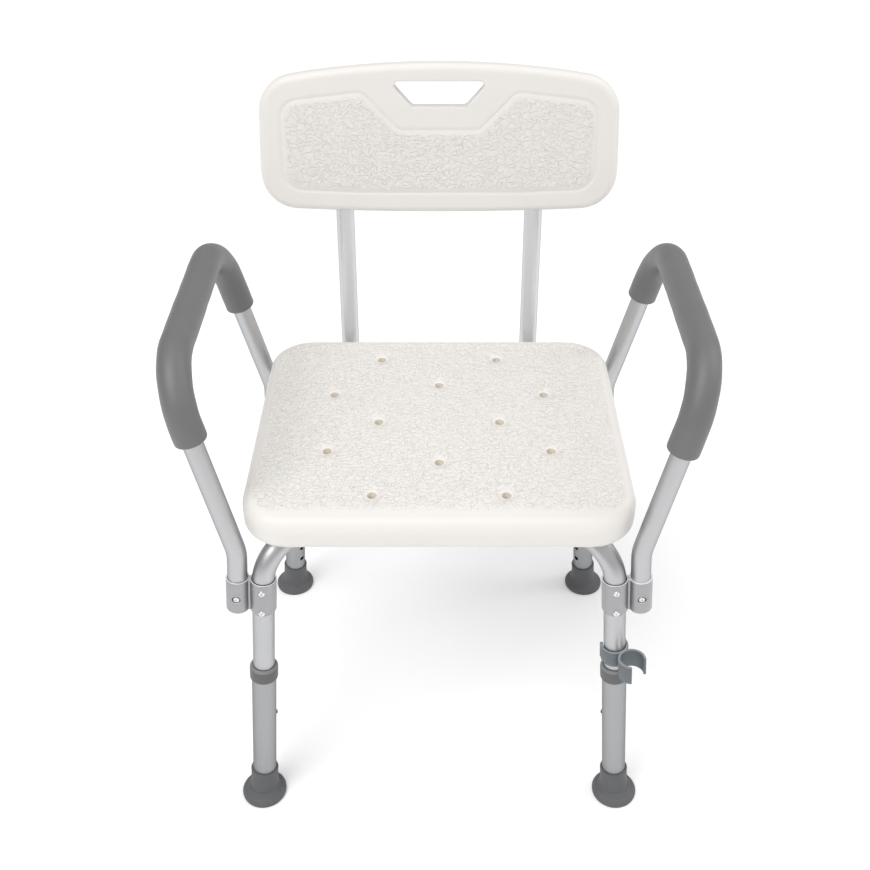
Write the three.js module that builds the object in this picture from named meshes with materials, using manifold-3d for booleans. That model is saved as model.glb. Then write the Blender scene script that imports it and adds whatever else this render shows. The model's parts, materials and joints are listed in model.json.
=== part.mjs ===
// Shower chair on an X frame: two bent tubes cross under a hollow moulded seat and run down into
// four telescopic legs, and twin-barrel clamps on the legs carry the two padded arms.
// Millimetres, +Z up, the front faces -Y, left is -X. Exported standing on Z = 0, centred in plan.
import * as THREE from "three";
import { mergeVertices } from "three/addons/utils/BufferGeometryUtils.js";
import Module from "manifold-3d";

const wasm = await Module();
wasm.setup();

// ---- driving dimensions ----
const GAP = 0.3; // between surfaces that touch on the real chair
const SIDES = 12; // facets round a telescoping tube
const ARM_SIDES = 10; // facets round the other tubes
const FIT = 1 / Math.cos(Math.PI / SIDES); // grows a faceted bore until a round tube clears its flats
const ARM_FIT = 1 / Math.cos(Math.PI / ARM_SIDES);

const SPLAY = THREE.MathUtils.degToRad(6); // lean of each leg, out along its own diagonal

const SEAT_WIDTH = 427;
const SEAT_DEPTH = 362;
const TRACK_X = SEAT_WIDTH + 19.4; // leg axis to leg axis on the floor, side to side
const TRACK_Y = SEAT_DEPTH + 13.6; // and front to back
const DIAGONAL = Math.hypot(TRACK_X, TRACK_Y) / 2;
const SEAT_TOP = 450;
const SEAT_THICK = 40;
const SEAT_BOTTOM = SEAT_TOP - SEAT_THICK;
const SEAT_WALL = 3.5;
const SEAT_CORNER_R = 52;
const SEAT_EDGE_R = 13;
const SEAT_VENT_INSET = 70; // from the front edge to the vent left by blowing the hollow
const VENT_R = 3;
const DRAIN_R = 5.5;
const DRAIN_WALL = 2.5;
const DRAIN_PLACES = [
  [127, 56],
  [71, 0],
  [72.7, 134],
]; // each is mirrored to four, or to two where it lies on the cross line
const DRAIN_MIDDLE = 76.6;
const BOSS_R = 8;
const SCREW_R = 2.5;
const SCREW_HEAD_R = 5;
const SCREW_HEAD = 3;
const SCREW_DEPTH = 24; // into the seat
const SEAT_SCREW_REACH = 130; // along each frame tube from the crossing

const FRAME_TUBE_R = 12.5;
const FRAME_WALL = 1.3;
const FRAME_TUBE_END = 110; // heights along a leg are measured from the floor
const FRAME_BEND_R = 47;
const CROSS_LEVEL = SEAT_BOTTOM - 5.2 - FRAME_TUBE_R; // axis of the level run under the seat
const BOSS_BOTTOM = CROSS_LEVEL + FRAME_TUBE_R + GAP;
const CROSSING_GAP = 0.8;
const DIP_HALF_LENGTH = 38; // level part of the lower tube where it ducks under the upper one
const DIP_RAMP = 34;
const DIP_BEND_R = 38;
const BOLT_R = 3;
const BOLT_HEAD_R = 6.5;
const BOLT_HEAD = 3.5;
const NUT_R = 5.8;
const NUT_HEIGHT = 5;
const NUT_POCKET_R = 12; // in the seat's underside, over the bolt
const NUT_POCKET = 8;

const LEG_WALL = 1.2;
const LEG_BORE = FRAME_TUBE_R + 0.6;
const LEG_R = LEG_BORE + LEG_WALL;
const LEG_BOTTOM = 10;
const HOLE_R = 3.6;
const HOLE_FIRST = 66.5;
const HOLE_PITCH = 22.4;
const HOLE_COUNT = 7;
const BUTTON_HOLE = 3; // the hole the button stands in, counted from the lowest as 0
const BUTTON_HEIGHT = HOLE_FIRST + BUTTON_HOLE * HOLE_PITCH;
const LEG_TOP = HOLE_FIRST + (HOLE_COUNT - 1) * HOLE_PITCH + 21.1;

const COLLAR_R = LEG_R + 2.2;
const COLLAR_HEIGHT = 19;
const COLLAR_LIP = 2.4;
const COLLAR_TOP = LEG_TOP + COLLAR_LIP;

const FOOT_R = 27.8;
const FOOT_FLANGE = 8.4;
const FOOT_CUP_TOP = 46;
const FOOT_CUP_R = LEG_R + 2.3;
const FOOT_NECK_R = LEG_R + 4.5;

const BUTTON_R = 3.1;
const BUTTON_FLANGE_R = 4.2;
const BUTTON_FLANGE = 1.4;
const BUTTON_BASE = FRAME_TUBE_R - 3.8; // from the leg's axis
const BUTTON_PROUD = 4.4;
const SPRING_WIDTH = 8;
const SPRING_THICK = 0.8;
const SPRING_LENGTH = 38; // above the button's axis
const SPRING_TAIL = 6; // below it

const ARM_TUBE_R = 11.1;
const ARM_WALL = 1.2;

// clear of the collar of a leg pushed fully up
const CLAMP_BOTTOM = COLLAR_TOP + BUTTON_HOLE * HOLE_PITCH + 18.4;
const CLAMP_HEIGHT = 44.5;
const CLAMP_TOP = CLAMP_BOTTOM + CLAMP_HEIGHT;
const CLAMP_WALL = 1.3;
const BEND_START = CROSS_LEVEL / Math.cos(SPLAY) - FRAME_BEND_R * Math.tan(Math.PI / 4 - SPLAY / 2);
const BEND_IN_CLAMP = Math.max(0, CLAMP_TOP - BEND_START); // the frame tube is already bending there
const CLAMP_SLACK = 0.38 + BEND_IN_CLAMP ** 2 / FRAME_BEND_R; // round the frame tube
const CLAMP_BORE = (FRAME_TUBE_R + CLAMP_SLACK) * FIT;
const CLAMP_R = CLAMP_BORE + CLAMP_WALL;
const CLAMP_ARM_WALL = 1.2;
const CLAMP_ARM_BORE = (ARM_TUBE_R + 0.2) * ARM_FIT;
const CLAMP_ARM_R = CLAMP_ARM_BORE + CLAMP_ARM_WALL;
const CLAMP_PITCH = CLAMP_R + CLAMP_ARM_R + 0.6; // leg barrel to arm barrel
const CLAMP_WEB = 9;
const RIVET_R = 1.9;
const RIVET_HEAD_R = 3.8;
const RIVET_INSET = [5.2, 34.2]; // above the clamp's lower edge
const ARM_SCREW_LEVEL = CLAMP_BOTTOM + 21;
const ARM_SCREW_R = 2;
const ARM_SCREW_HEAD_R = 4;
const ARM_SCREW_WINDOW_R = 4.9;

const ARM_END = CLAMP_BOTTOM + 2;
const ARM_ELBOW = CLAMP_TOP + 34.5; // height of the lower bend
const ARM_ELBOW_R = 62;
const ARM_HALF_SPREAD = SEAT_WIDTH / 2 + 55.5; // centre line of the armrest from the middle
const ARM_HALF_LENGTH = SEAT_DEPTH / 2 - 35;
const ARM_LEVEL = SEAT_TOP + 159;
const ARM_CORNER_R = 66;
const PAD_R = 17.6;
const PAD_END_LEVEL = ARM_LEVEL - 85;
const PAD_SLIP = [-9.5, 4]; // how far down its tube the front end of the left and the right pad has slid

const POST_R = 11.1;
const POST_WALL = 1.2;
const POST_HALF_SPREAD = 117.6;
const POST_LEVEL = SEAT_BOTTOM - 6.3 - POST_R; // axis of the run under the seat
const POST_LENGTH = 324; // up the slope from the level of the seat's top
const POST_BEND_R = 33;
const RECLINE = THREE.MathUtils.degToRad(8.1);

const RECEIVER_LENGTH = 24;
const RECEIVER_WIDTH = 34;
const RECEIVER_FLOOR = 4;
const TUBE_EDGE = // rear side of the cross tube where it passes the receiver's outer corner
  ((POST_HALF_SPREAD + RECEIVER_WIDTH / 2) * TRACK_Y + 2 * FRAME_TUBE_R * DIAGONAL) / TRACK_X;
const RECEIVER_FRONT = TUBE_EDGE + 4;
const RECEIVER_SCREW_Y = RECEIVER_FRONT + RECEIVER_LENGTH / 2;
const POST_FRONT = RECEIVER_FRONT - 3.5;
// where a post's axis passes the level of the seat's top: behind the seat, with room for the bend
const POST_AXIS_Y = Math.max(SEAT_DEPTH / 2 + 23, RECEIVER_FRONT + RECEIVER_LENGTH + 46);

const BACK_TOP = 340.5; // distances up the slope, from the level of the seat's top
const BACK_BOTTOM = 162;
const BACK_TOP_CORNER = 320.5;
const BACK_BOTTOM_CORNER = 168;
const BACK_WAIST = 222; // widest level of the panel
const BACK_HALF_TOP = 213.5;
const BACK_HALF_BOTTOM = 217;
const BACK_HALF_WAIST = 217.9;
const BACK_TOP_R = 45;
const BACK_BOTTOM_R = 44;
const BACK_FRONT = 15; // faces of the panel, ahead of and behind the posts' axes
const BACK_REAR = -8;
const BACK_EDGE_R = 8;
const BACK_WALL = 3;
const BACK_VENT_SPREAD = 165;
const BACK_VENT_INSET = 30;
const SOCKET_WALL = 3;
const SOCKET_TOP = 327.5;
const SLOT_TOP = 320;
const SLOT_BOTTOM = 290;
const SLOT_HALF_TOP = 59.5;
const SLOT_HALF_BOTTOM = 32;
const SLOT_CORNER_R = 5;
const BACK_SCREW_SLOPE = 250;
const BACK_SCREW_LENGTH = 16;

const CLIP_BOTTOM = COLLAR_TOP + 9.6;
const CLIP_HEIGHT = 21;
const CLIP_WALL = 2.8;
const CLIP_BEAD_R = 1.9; // thickened lips of the ring that grips the tube
const CLIP_BEARING = THREE.MathUtils.degToRad(-56); // from the gripping ring to the holder, from +X
const CLIP_MOUTH = THREE.MathUtils.degToRad(132); // width of the gripping ring's opening
const CLIP_MOUTH_BEARING = THREE.MathUtils.degToRad(101);
const HOLDER_R = 16;
const HOLDER_DROP = 4; // of the holder's lower edge below the gripping ring's
const HOLDER_MOUTH = THREE.MathUtils.degToRad(93);
const HOLDER_MOUTH_BEARING = THREE.MathUtils.degToRad(-52);

// ---- materials ----
const paint = (color, roughness, metalness) =>
  new THREE.MeshStandardMaterial({ color, roughness, metalness });
const WHITE_PLASTIC = paint(0xe9e6e1, 0.5, 0);
const TUBE_METAL = paint(0xc9cbce, 0.35, 0.9);
const LEG_METAL = paint(0xaeb0b4, 0.38, 0.9);
const CLAMP_METAL = paint(0xa2a3a6, 0.42, 0.9);
const BRIGHT_METAL = paint(0xd6d4d0, 0.25, 1);
const GREY_FOAM = paint(0x7c7d7e, 0.85, 0);
const GREY_RUBBER = paint(0x66676a, 0.75, 0);
const GREY_PLASTIC = paint(0x6e7579, 0.55, 0);

// ---- geometry helpers ----
const V = (x, y, z) => new THREE.Vector3(x, y, z);
const UP = V(0, 0, 1);
const chair = new THREE.Group();

// A closed geometry as a solid, with its faces turned outwards.
function solid(geometry) {
  const bare = geometry.clone();
  bare.deleteAttribute("normal");
  bare.deleteAttribute("uv");
  const merged = mergeVertices(bare, 1e-4);
  const kept = [];
  const index = merged.index.array;
  for (let i = 0; i < index.length; i += 3) {
    const [a, b, c] = [index[i], index[i + 1], index[i + 2]];
    if (a !== b && b !== c && c !== a) kept.push(a, b, c);
  }
  const made = (triangles) =>
    new wasm.Manifold(
      new wasm.Mesh({
        numProp: 3,
        vertProperties: merged.attributes.position.array,
        triVerts: new Uint32Array(triangles),
      }),
    );
  const first = made(kept);
  return first.volume() > 0 ? first : made(kept.reverse());
}

function placed(body, matrix) {
  return body.transform(matrix.elements);
}

function moved(body, x, y, z) {
  return placed(body, new THREE.Matrix4().makeTranslation(x, y, z));
}

function addMesh(parent, name, body, material) {
  const { vertProperties, triVerts } = body.getMesh();
  const geometry = new THREE.BufferGeometry();
  geometry.setAttribute("position", new THREE.BufferAttribute(vertProperties, 3));
  geometry.setIndex(new THREE.BufferAttribute(triVerts, 1));
  geometry.computeVertexNormals();
  const mesh = new THREE.Mesh(geometry, material);
  mesh.name = name;
  parent.add(mesh);
  return mesh;
}

// Turned about +Z from [radius, height] pairs that run from the axis to the axis, or close on themselves.
function turned(profile, segments = SIDES) {
  const points = profile.map(([r, z]) => new THREE.Vector2(r, z));
  const [first, last] = [points[0], points[points.length - 1]];
  if (first.x > 0 || last.x > 0) points.push(first.clone());
  return solid(new THREE.LatheGeometry(points, segments).rotateX(Math.PI / 2));
}

function rod(radius, low, high, segments = SIDES) {
  return turned(
    [
      [0, low],
      [radius, low],
      [radius, high],
      [0, high],
    ],
    segments,
  );
}

function block(low, high) {
  const size = V(...high).sub(V(...low));
  const geometry = new THREE.BoxGeometry(size.x, size.y, size.z);
  geometry.translate(low[0] + size.x / 2, low[1] + size.y / 2, low[2] + size.z / 2);
  return solid(geometry);
}

// Turns a body made along +Z to point along a direction from a place.
function aimed(body, from, direction) {
  const turn = new THREE.Quaternion().setFromUnitVectors(UP, direction.clone().normalize());
  return placed(body, new THREE.Matrix4().compose(from, turn, V(1, 1, 1)));
}

// A closed outline of [x, y, radius] corners, each rounded by an arc of its radius.
function rounded(corners, Kind = THREE.Shape) {
  const outline = new Kind();
  corners.forEach(([x, y, r], i) => {
    const at = new THREE.Vector2(x, y);
    const before = corners[(i + corners.length - 1) % corners.length];
    const after = corners[(i + 1) % corners.length];
    const back = new THREE.Vector2(before[0], before[1]).sub(at).normalize();
    const on = new THREE.Vector2(after[0], after[1]).sub(at).normalize();
    const half = Math.acos(THREE.MathUtils.clamp(back.dot(on), -1, 1)) / 2;
    const start = at.clone().addScaledVector(back, r / Math.tan(half));
    if (i) outline.lineTo(start.x, start.y);
    else outline.moveTo(start.x, start.y);
    if (r > 0) {
      const middle = back.clone().add(on).normalize();
      const centre = at.clone().addScaledVector(middle, r / Math.sin(half));
      const end = at.clone().addScaledVector(on, r / Math.tan(half));
      const from = Math.atan2(start.y - centre.y, start.x - centre.x);
      const to = Math.atan2(end.y - centre.y, end.x - centre.x);
      const clockwise = back.x * on.y - back.y * on.x > 0;
      outline.absarc(centre.x, centre.y, r, from, to, clockwise);
    }
  });
  outline.closePath();
  return outline;
}

// A plate between two heights, its upper and lower edges rounded inside its outline.
function plate(outline, low, high, edge = 0, steps = 3, curveSegments = 6) {
  const geometry = new THREE.ExtrudeGeometry(outline, {
    depth: high - low - 2 * edge,
    bevelEnabled: edge > 0,
    bevelThickness: edge,
    bevelSize: edge,
    bevelOffset: -edge,
    bevelSegments: steps,
    curveSegments,
  });
  return solid(geometry.translate(0, 0, low + edge));
}

// A bent tube's centre line: straights between corners, each corner an arc cut into equal steps.
class BentPath extends THREE.Curve {
  constructor(corners, step = 15) {
    super();
    this.stations = [];
    corners.forEach(({ at, r }, i) => {
      const before = corners[i - 1];
      const after = corners[i + 1];
      if (!before || !after) {
        const ends = before ? [before.at, at] : [at, after.at];
        this.stations.push({ at, way: ends[1].clone().sub(ends[0]).normalize() });
        return;
      }
      const arrive = at.clone().sub(before.at).normalize();
      const leave = after.at.clone().sub(at).normalize();
      const angle = arrive.angleTo(leave);
      const side = leave.clone().addScaledVector(arrive, -arrive.dot(leave)).normalize();
      const start = at.clone().addScaledVector(arrive, -r * Math.tan(angle / 2));
      const steps = Math.max(2, Math.ceil(THREE.MathUtils.radToDeg(angle) / step));
      for (let k = 0; k <= steps; k++) {
        const turn = (angle * k) / steps;
        this.stations.push({
          at: start
            .clone()
            .addScaledVector(arrive, r * Math.sin(turn))
            .addScaledVector(side, r * (1 - Math.cos(turn))),
          way: arrive.clone().multiplyScalar(Math.cos(turn)).addScaledVector(side, Math.sin(turn)),
        });
      }
    });
  }

  get steps() {
    return this.stations.length - 1;
  }

  getPoint(t) {
    return this.stations[Math.round(t * this.steps)].at.clone();
  }

  getPointAt(u) {
    return this.getPoint(u);
  }

  getTangent(t) {
    return this.stations[Math.round(t * this.steps)].way.clone();
  }

  getTangentAt(u) {
    return this.getTangent(u);
  }
}

function ringShape(outer, inner, sides) {
  const point = (radius) => (k) =>
    new THREE.Vector2(
      radius * Math.cos((2 * Math.PI * k) / sides),
      radius * Math.sin((2 * Math.PI * k) / sides),
    );
  const around = [...Array(sides).keys()];
  const shape = new THREE.Shape(around.map(point(outer)));
  if (inner > 0) shape.holes.push(new THREE.Path(around.map(point(inner))));
  return shape;
}

function tubeAlong(path, outer, inner, sides) {
  return solid(
    new THREE.ExtrudeGeometry(ringShape(outer, inner, sides), {
      steps: path.steps,
      extrudePath: path,
      bevelEnabled: false,
    }),
  );
}

// A straight tube along +Z.
function sleeve(outer, inner, low, high) {
  return turned([
    [inner, low],
    [outer, low],
    [outer, high],
    [inner, high],
  ]);
}

// ---- the four legs' own frames: origin on the floor, +Z up the leaning axis ----
const LEGS = [
  { name: "front_left", sx: -1, sy: -1 },
  { name: "front_right", sx: 1, sy: -1 },
  { name: "rear_left", sx: -1, sy: 1 },
  { name: "rear_right", sx: 1, sy: 1 },
];
for (const leg of LEGS) {
  leg.inward = V(-leg.sx * TRACK_X, -leg.sy * TRACK_Y, 0).normalize();
  leg.foot = V((leg.sx * TRACK_X) / 2, (leg.sy * TRACK_Y) / 2, 0);
  leg.axis = leg.inward.clone().multiplyScalar(Math.sin(SPLAY)).addScaledVector(UP, Math.cos(SPLAY));
  leg.turn = new THREE.Quaternion().setFromUnitVectors(UP, leg.axis);
  leg.matrix = new THREE.Matrix4().compose(leg.foot, leg.turn, V(1, 1, 1));
  leg.at = (height) => leg.foot.clone().addScaledVector(leg.axis, height);
  leg.face = V(0, leg.sy, 0);
}
const legGroup = (leg) => {
  const group = new THREE.Group();
  group.position.copy(leg.foot);
  group.quaternion.copy(leg.turn);
  chair.add(group);
  return group;
};

// ---- seat ----
const drains = () => {
  const places = [];
  for (const [x, y] of DRAIN_PLACES)
    for (const sx of [-1, 1]) for (const sy of y ? [-1, 1] : [1]) places.push([sx * x, sy * y]);
  for (const sy of [-1, 1]) places.push([0, sy * DRAIN_MIDDLE]);
  return places;
};
const seatScrewPlaces = LEGS.map((leg) => leg.inward.clone().multiplyScalar(-SEAT_SCREW_REACH));
const postScrewPlaces = [-1, 1].map((s) =>
  V(s * POST_HALF_SPREAD, RECEIVER_SCREW_Y, 0),
);

function seatOutline(inset) {
  const [x, y] = [SEAT_WIDTH / 2 - inset, SEAT_DEPTH / 2 - inset];
  const r = SEAT_CORNER_R - inset;
  return rounded([
    [-x, -y, r],
    [x, -y, r],
    [x, y, r],
    [-x, y, r],
  ]);
}

function makeSeat() {
  const [floor, roof] = [SEAT_BOTTOM + SEAT_WALL, SEAT_TOP - SEAT_WALL];
  const pillar = (radius, [x, y]) => moved(rod(radius, floor - 1, roof + 1, 8), x, y, 0);
  const shaft = (radius, low, high, [x, y]) => moved(rod(radius, low, high, 8), x, y, 0);
  const screws = [...seatScrewPlaces, ...postScrewPlaces].map(({ x, y }) => [x, y]);
  let hollow = plate(seatOutline(SEAT_WALL), floor, roof, SEAT_EDGE_R - SEAT_WALL, 1, 2);
  const pocketTop = SEAT_BOTTOM + NUT_POCKET;
  hollow = hollow.subtract(rod(NUT_POCKET_R + SEAT_WALL, floor - 1, pocketTop + SEAT_WALL));
  for (const at of drains()) hollow = hollow.subtract(pillar(DRAIN_R + DRAIN_WALL, at));
  for (const at of screws) hollow = hollow.subtract(pillar(BOSS_R, at));
  let body = plate(seatOutline(0), SEAT_BOTTOM, SEAT_TOP, SEAT_EDGE_R, 3, 3).subtract(hollow);
  for (const { x, y } of seatScrewPlaces)
    body = body.add(shaft(BOSS_R, BOSS_BOTTOM, SEAT_BOTTOM + 1, [x, y]));
  body = body.subtract(rod(NUT_POCKET_R, SEAT_BOTTOM - 1, pocketTop));
  for (const at of drains())
    body = body.subtract(shaft(DRAIN_R, SEAT_BOTTOM - 1, SEAT_TOP + 1, at));
  for (const at of screws)
    body = body.subtract(shaft(SCREW_R + GAP, BOSS_BOTTOM - 1, SEAT_BOTTOM + SCREW_DEPTH + GAP, at));
  const vent = [0, SEAT_VENT_INSET - SEAT_DEPTH / 2];
  return body.subtract(shaft(VENT_R, SEAT_BOTTOM - 1, floor + 1, vent));
}

// ---- X frame ----
function crossTube(startLeg, ducks) {
  const out = startLeg.inward.clone().negate();
  const end = startLeg.inward;
  const corner = DIAGONAL - CROSS_LEVEL * Math.tan(SPLAY);
  const at = (way, distance, level) => way.clone().multiplyScalar(distance).setZ(level);
  const low = CROSS_LEVEL - 2 * FRAME_TUBE_R - CROSSING_GAP;
  const tail = DIAGONAL - FRAME_TUBE_END * Math.sin(SPLAY);
  const level = FRAME_TUBE_END * Math.cos(SPLAY);
  const half = (way) => [
    { at: at(way, tail, level) },
    { at: at(way, corner, CROSS_LEVEL), r: FRAME_BEND_R },
    ...(ducks
      ? [
          { at: at(way, DIP_HALF_LENGTH + DIP_RAMP, CROSS_LEVEL), r: DIP_BEND_R },
          { at: at(way, DIP_HALF_LENGTH, low), r: DIP_BEND_R },
        ]
      : []),
  ];
  const path = new BentPath([...half(out), ...half(end).reverse()], 21);
  let tube = tubeAlong(path, FRAME_TUBE_R, FRAME_TUBE_R - FRAME_WALL, SIDES);
  const ends = LEGS.filter((leg) => leg.sx * leg.sy === startLeg.sx * startLeg.sy);
  for (const leg of ends) {
    const buttonHole = rod(HOLE_R, 0, FRAME_TUBE_R + 2, 10);
    tube = tube.subtract(aimed(buttonHole, leg.at(BUTTON_HEIGHT), radial(leg)));
    for (const height of RIVET_INSET) {
      const rivetHole = rod(RIVET_R + GAP, 0, FRAME_TUBE_R + 2, 8);
      tube = tube.subtract(aimed(rivetHole, leg.at(CLAMP_BOTTOM + height), faceway(leg)));
    }
    const place = leg.inward.clone().multiplyScalar(-SEAT_SCREW_REACH);
    const screwHole = rod(SCREW_R + GAP, CROSS_LEVEL - 2 * FRAME_TUBE_R, BOSS_BOTTOM, 8);
    tube = tube.subtract(moved(screwHole, place.x, place.y, 0));
  }
  return tube.subtract(rod(BOLT_R + GAP, low - 2 * FRAME_TUBE_R, BOSS_BOTTOM, 10));
}

// Directions square to a leg's axis, in the chair's frame: inboard along the diagonal,
// and out of the front or the rear.
function radial(leg) {
  return leg.inward.clone().applyQuaternion(leg.turn);
}

function faceway(leg) {
  return leg.face.clone().applyQuaternion(leg.turn);
}

function makeFrame() {
  addMesh(chair, "cross_tube_upper", crossTube(LEGS[0], false), TUBE_METAL);
  addMesh(chair, "cross_tube_lower", crossTube(LEGS[1], true), TUBE_METAL);
  const top = BOSS_BOTTOM;
  const bottom = CROSS_LEVEL - 3 * FRAME_TUBE_R - CROSSING_GAP - GAP;
  const bolt = turned(
    [
      [0, bottom - BOLT_HEAD],
      [BOLT_HEAD_R * 0.75, bottom - BOLT_HEAD],
      [BOLT_HEAD_R, bottom - BOLT_HEAD * 0.4],
      [BOLT_HEAD_R, bottom],
      [BOLT_R, bottom],
      [BOLT_R, top + NUT_HEIGHT + 1],
      [0, top + NUT_HEIGHT + 1],
    ],
    12,
  );
  addMesh(chair, "crossing_bolt", bolt, BRIGHT_METAL);
  const nut = rod(NUT_R, top, top + NUT_HEIGHT, 6);
  const thread = rod(BOLT_R + GAP, top - 1, top + NUT_HEIGHT + 1);
  addMesh(chair, "crossing_nut", nut.subtract(thread), BRIGHT_METAL);
}

// A round-headed screw that points up from a head at z = 0.
function screw(length, radius) {
  return turned(
    [
      [0, -SCREW_HEAD],
      [SCREW_HEAD_R * 0.7, -SCREW_HEAD],
      [SCREW_HEAD_R, -SCREW_HEAD * 0.4],
      [SCREW_HEAD_R, 0],
      [radius, 0],
      [radius, length],
      [0, length],
    ],
    8,
  );
}

function makeSeatScrews() {
  const head = CROSS_LEVEL - FRAME_TUBE_R - GAP;
  LEGS.forEach((leg, i) => {
    const { x, y } = seatScrewPlaces[i];
    const body = moved(screw(SEAT_BOTTOM + SCREW_DEPTH - head, SCREW_R), x, y, head);
    addMesh(chair, `seat_screw_${leg.name}`, body, BRIGHT_METAL);
  });
}

// ---- legs ----
function makeLeg(leg) {
  const group = legGroup(leg);
  let tube = sleeve(LEG_R, LEG_BORE, LEG_BOTTOM + GAP, LEG_TOP);
  for (let k = 0; k < HOLE_COUNT; k++) {
    const hole = rod(HOLE_R, LEG_BORE / 2, LEG_R + 2, 10);
    tube = tube.subtract(aimed(hole, V(0, 0, HOLE_FIRST + k * HOLE_PITCH), leg.inward));
  }
  addMesh(group, `leg_tube_${leg.name}`, tube, LEG_METAL);

  const mouth = (FRAME_TUBE_R + 0.1) * FIT;
  const seat = (LEG_R + GAP / 2) * FIT;
  const collar = turned([
    [seat, COLLAR_TOP - COLLAR_HEIGHT],
    [COLLAR_R, COLLAR_TOP - COLLAR_HEIGHT],
    [COLLAR_R, COLLAR_TOP - 2],
    [COLLAR_R - 2, COLLAR_TOP],
    [mouth, COLLAR_TOP],
    [mouth, LEG_TOP + GAP],
    [seat, LEG_TOP + GAP],
  ]);
  addMesh(group, `leg_collar_${leg.name}`, collar, GREY_PLASTIC);
  const standing = aimed(button(), V(0, 0, BUTTON_HEIGHT), leg.inward);
  addMesh(group, `leg_button_${leg.name}`, standing, GREY_PLASTIC);
  addMesh(group, `button_spring_${leg.name}`, buttonSpring(leg), BRIGHT_METAL);
}

function button() {
  const tip = LEG_R + BUTTON_PROUD;
  return turned(
    [
      [0, BUTTON_BASE],
      [BUTTON_FLANGE_R, BUTTON_BASE],
      [BUTTON_FLANGE_R, BUTTON_BASE + BUTTON_FLANGE],
      [BUTTON_R, BUTTON_BASE + BUTTON_FLANGE],
      [BUTTON_R, tip - 1.6],
      [BUTTON_R * 0.8, tip - 0.6],
      [BUTTON_R * 0.4, tip - 0.1],
      [0, tip],
    ],
    8,
  );
}

// A leaf bent back on itself inside the frame tube: one arm behind the button, one on the far wall.
function buttonSpring(leg) {
  const near = BUTTON_BASE - GAP;
  const far = -(FRAME_TUBE_R - FRAME_WALL - 1.6);
  const t = SPRING_THICK;
  const middle = (near + far) / 2;
  const bow = (near - far) / 2;
  const leaf = new THREE.Shape();
  leaf.moveTo(near, -SPRING_TAIL);
  leaf.lineTo(near, SPRING_LENGTH - bow);
  leaf.absarc(middle, SPRING_LENGTH - bow, bow, 0, Math.PI, false);
  leaf.lineTo(far, -SPRING_TAIL);
  leaf.lineTo(far + t, -SPRING_TAIL);
  leaf.lineTo(far + t, SPRING_LENGTH - bow);
  leaf.absarc(middle, SPRING_LENGTH - bow, bow - t, Math.PI, 0, true);
  leaf.lineTo(near - t, -SPRING_TAIL);
  leaf.closePath();
  const geometry = new THREE.ExtrudeGeometry(leaf, {
    depth: SPRING_WIDTH,
    bevelEnabled: false,
    curveSegments: 5,
  });
  geometry.translate(0, 0, -SPRING_WIDTH / 2).rotateX(Math.PI / 2);
  geometry.rotateZ(Math.atan2(leg.inward.y, leg.inward.x)).translate(0, 0, BUTTON_HEIGHT);
  return solid(geometry);
}

function makeFoot(leg) {
  const group = new THREE.Group();
  group.position.copy(leg.foot);
  chair.add(group);
  const flange = turned([
    [0, 0],
    [FOOT_R - 1.5, 0],
    [FOOT_R, 1.8],
    [FOOT_R, FOOT_FLANGE - 2.4],
    [FOOT_R - 2.2, FOOT_FLANGE - 0.3],
    [FOOT_NECK_R + 2, FOOT_FLANGE + 1],
    [FOOT_NECK_R, FOOT_FLANGE + 5],
    [0, FOOT_FLANGE + 5],
  ]);
  const cup = turned([
    [0, FOOT_FLANGE],
    [FOOT_NECK_R, FOOT_FLANGE],
    [FOOT_CUP_R + 0.6, FOOT_FLANGE + 14],
    [FOOT_CUP_R, FOOT_CUP_TOP],
    [0, FOOT_CUP_TOP],
  ]);
  const bore = rod((LEG_R + GAP / 2) * FIT, LEG_BOTTOM, FOOT_CUP_TOP + 1);
  const lean = (body) => placed(body, new THREE.Matrix4().makeRotationFromQuaternion(leg.turn));
  const foot = flange.add(lean(cup)).subtract(lean(bore));
  addMesh(group, `foot_${leg.name}`, foot, GREY_RUBBER);
}

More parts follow.
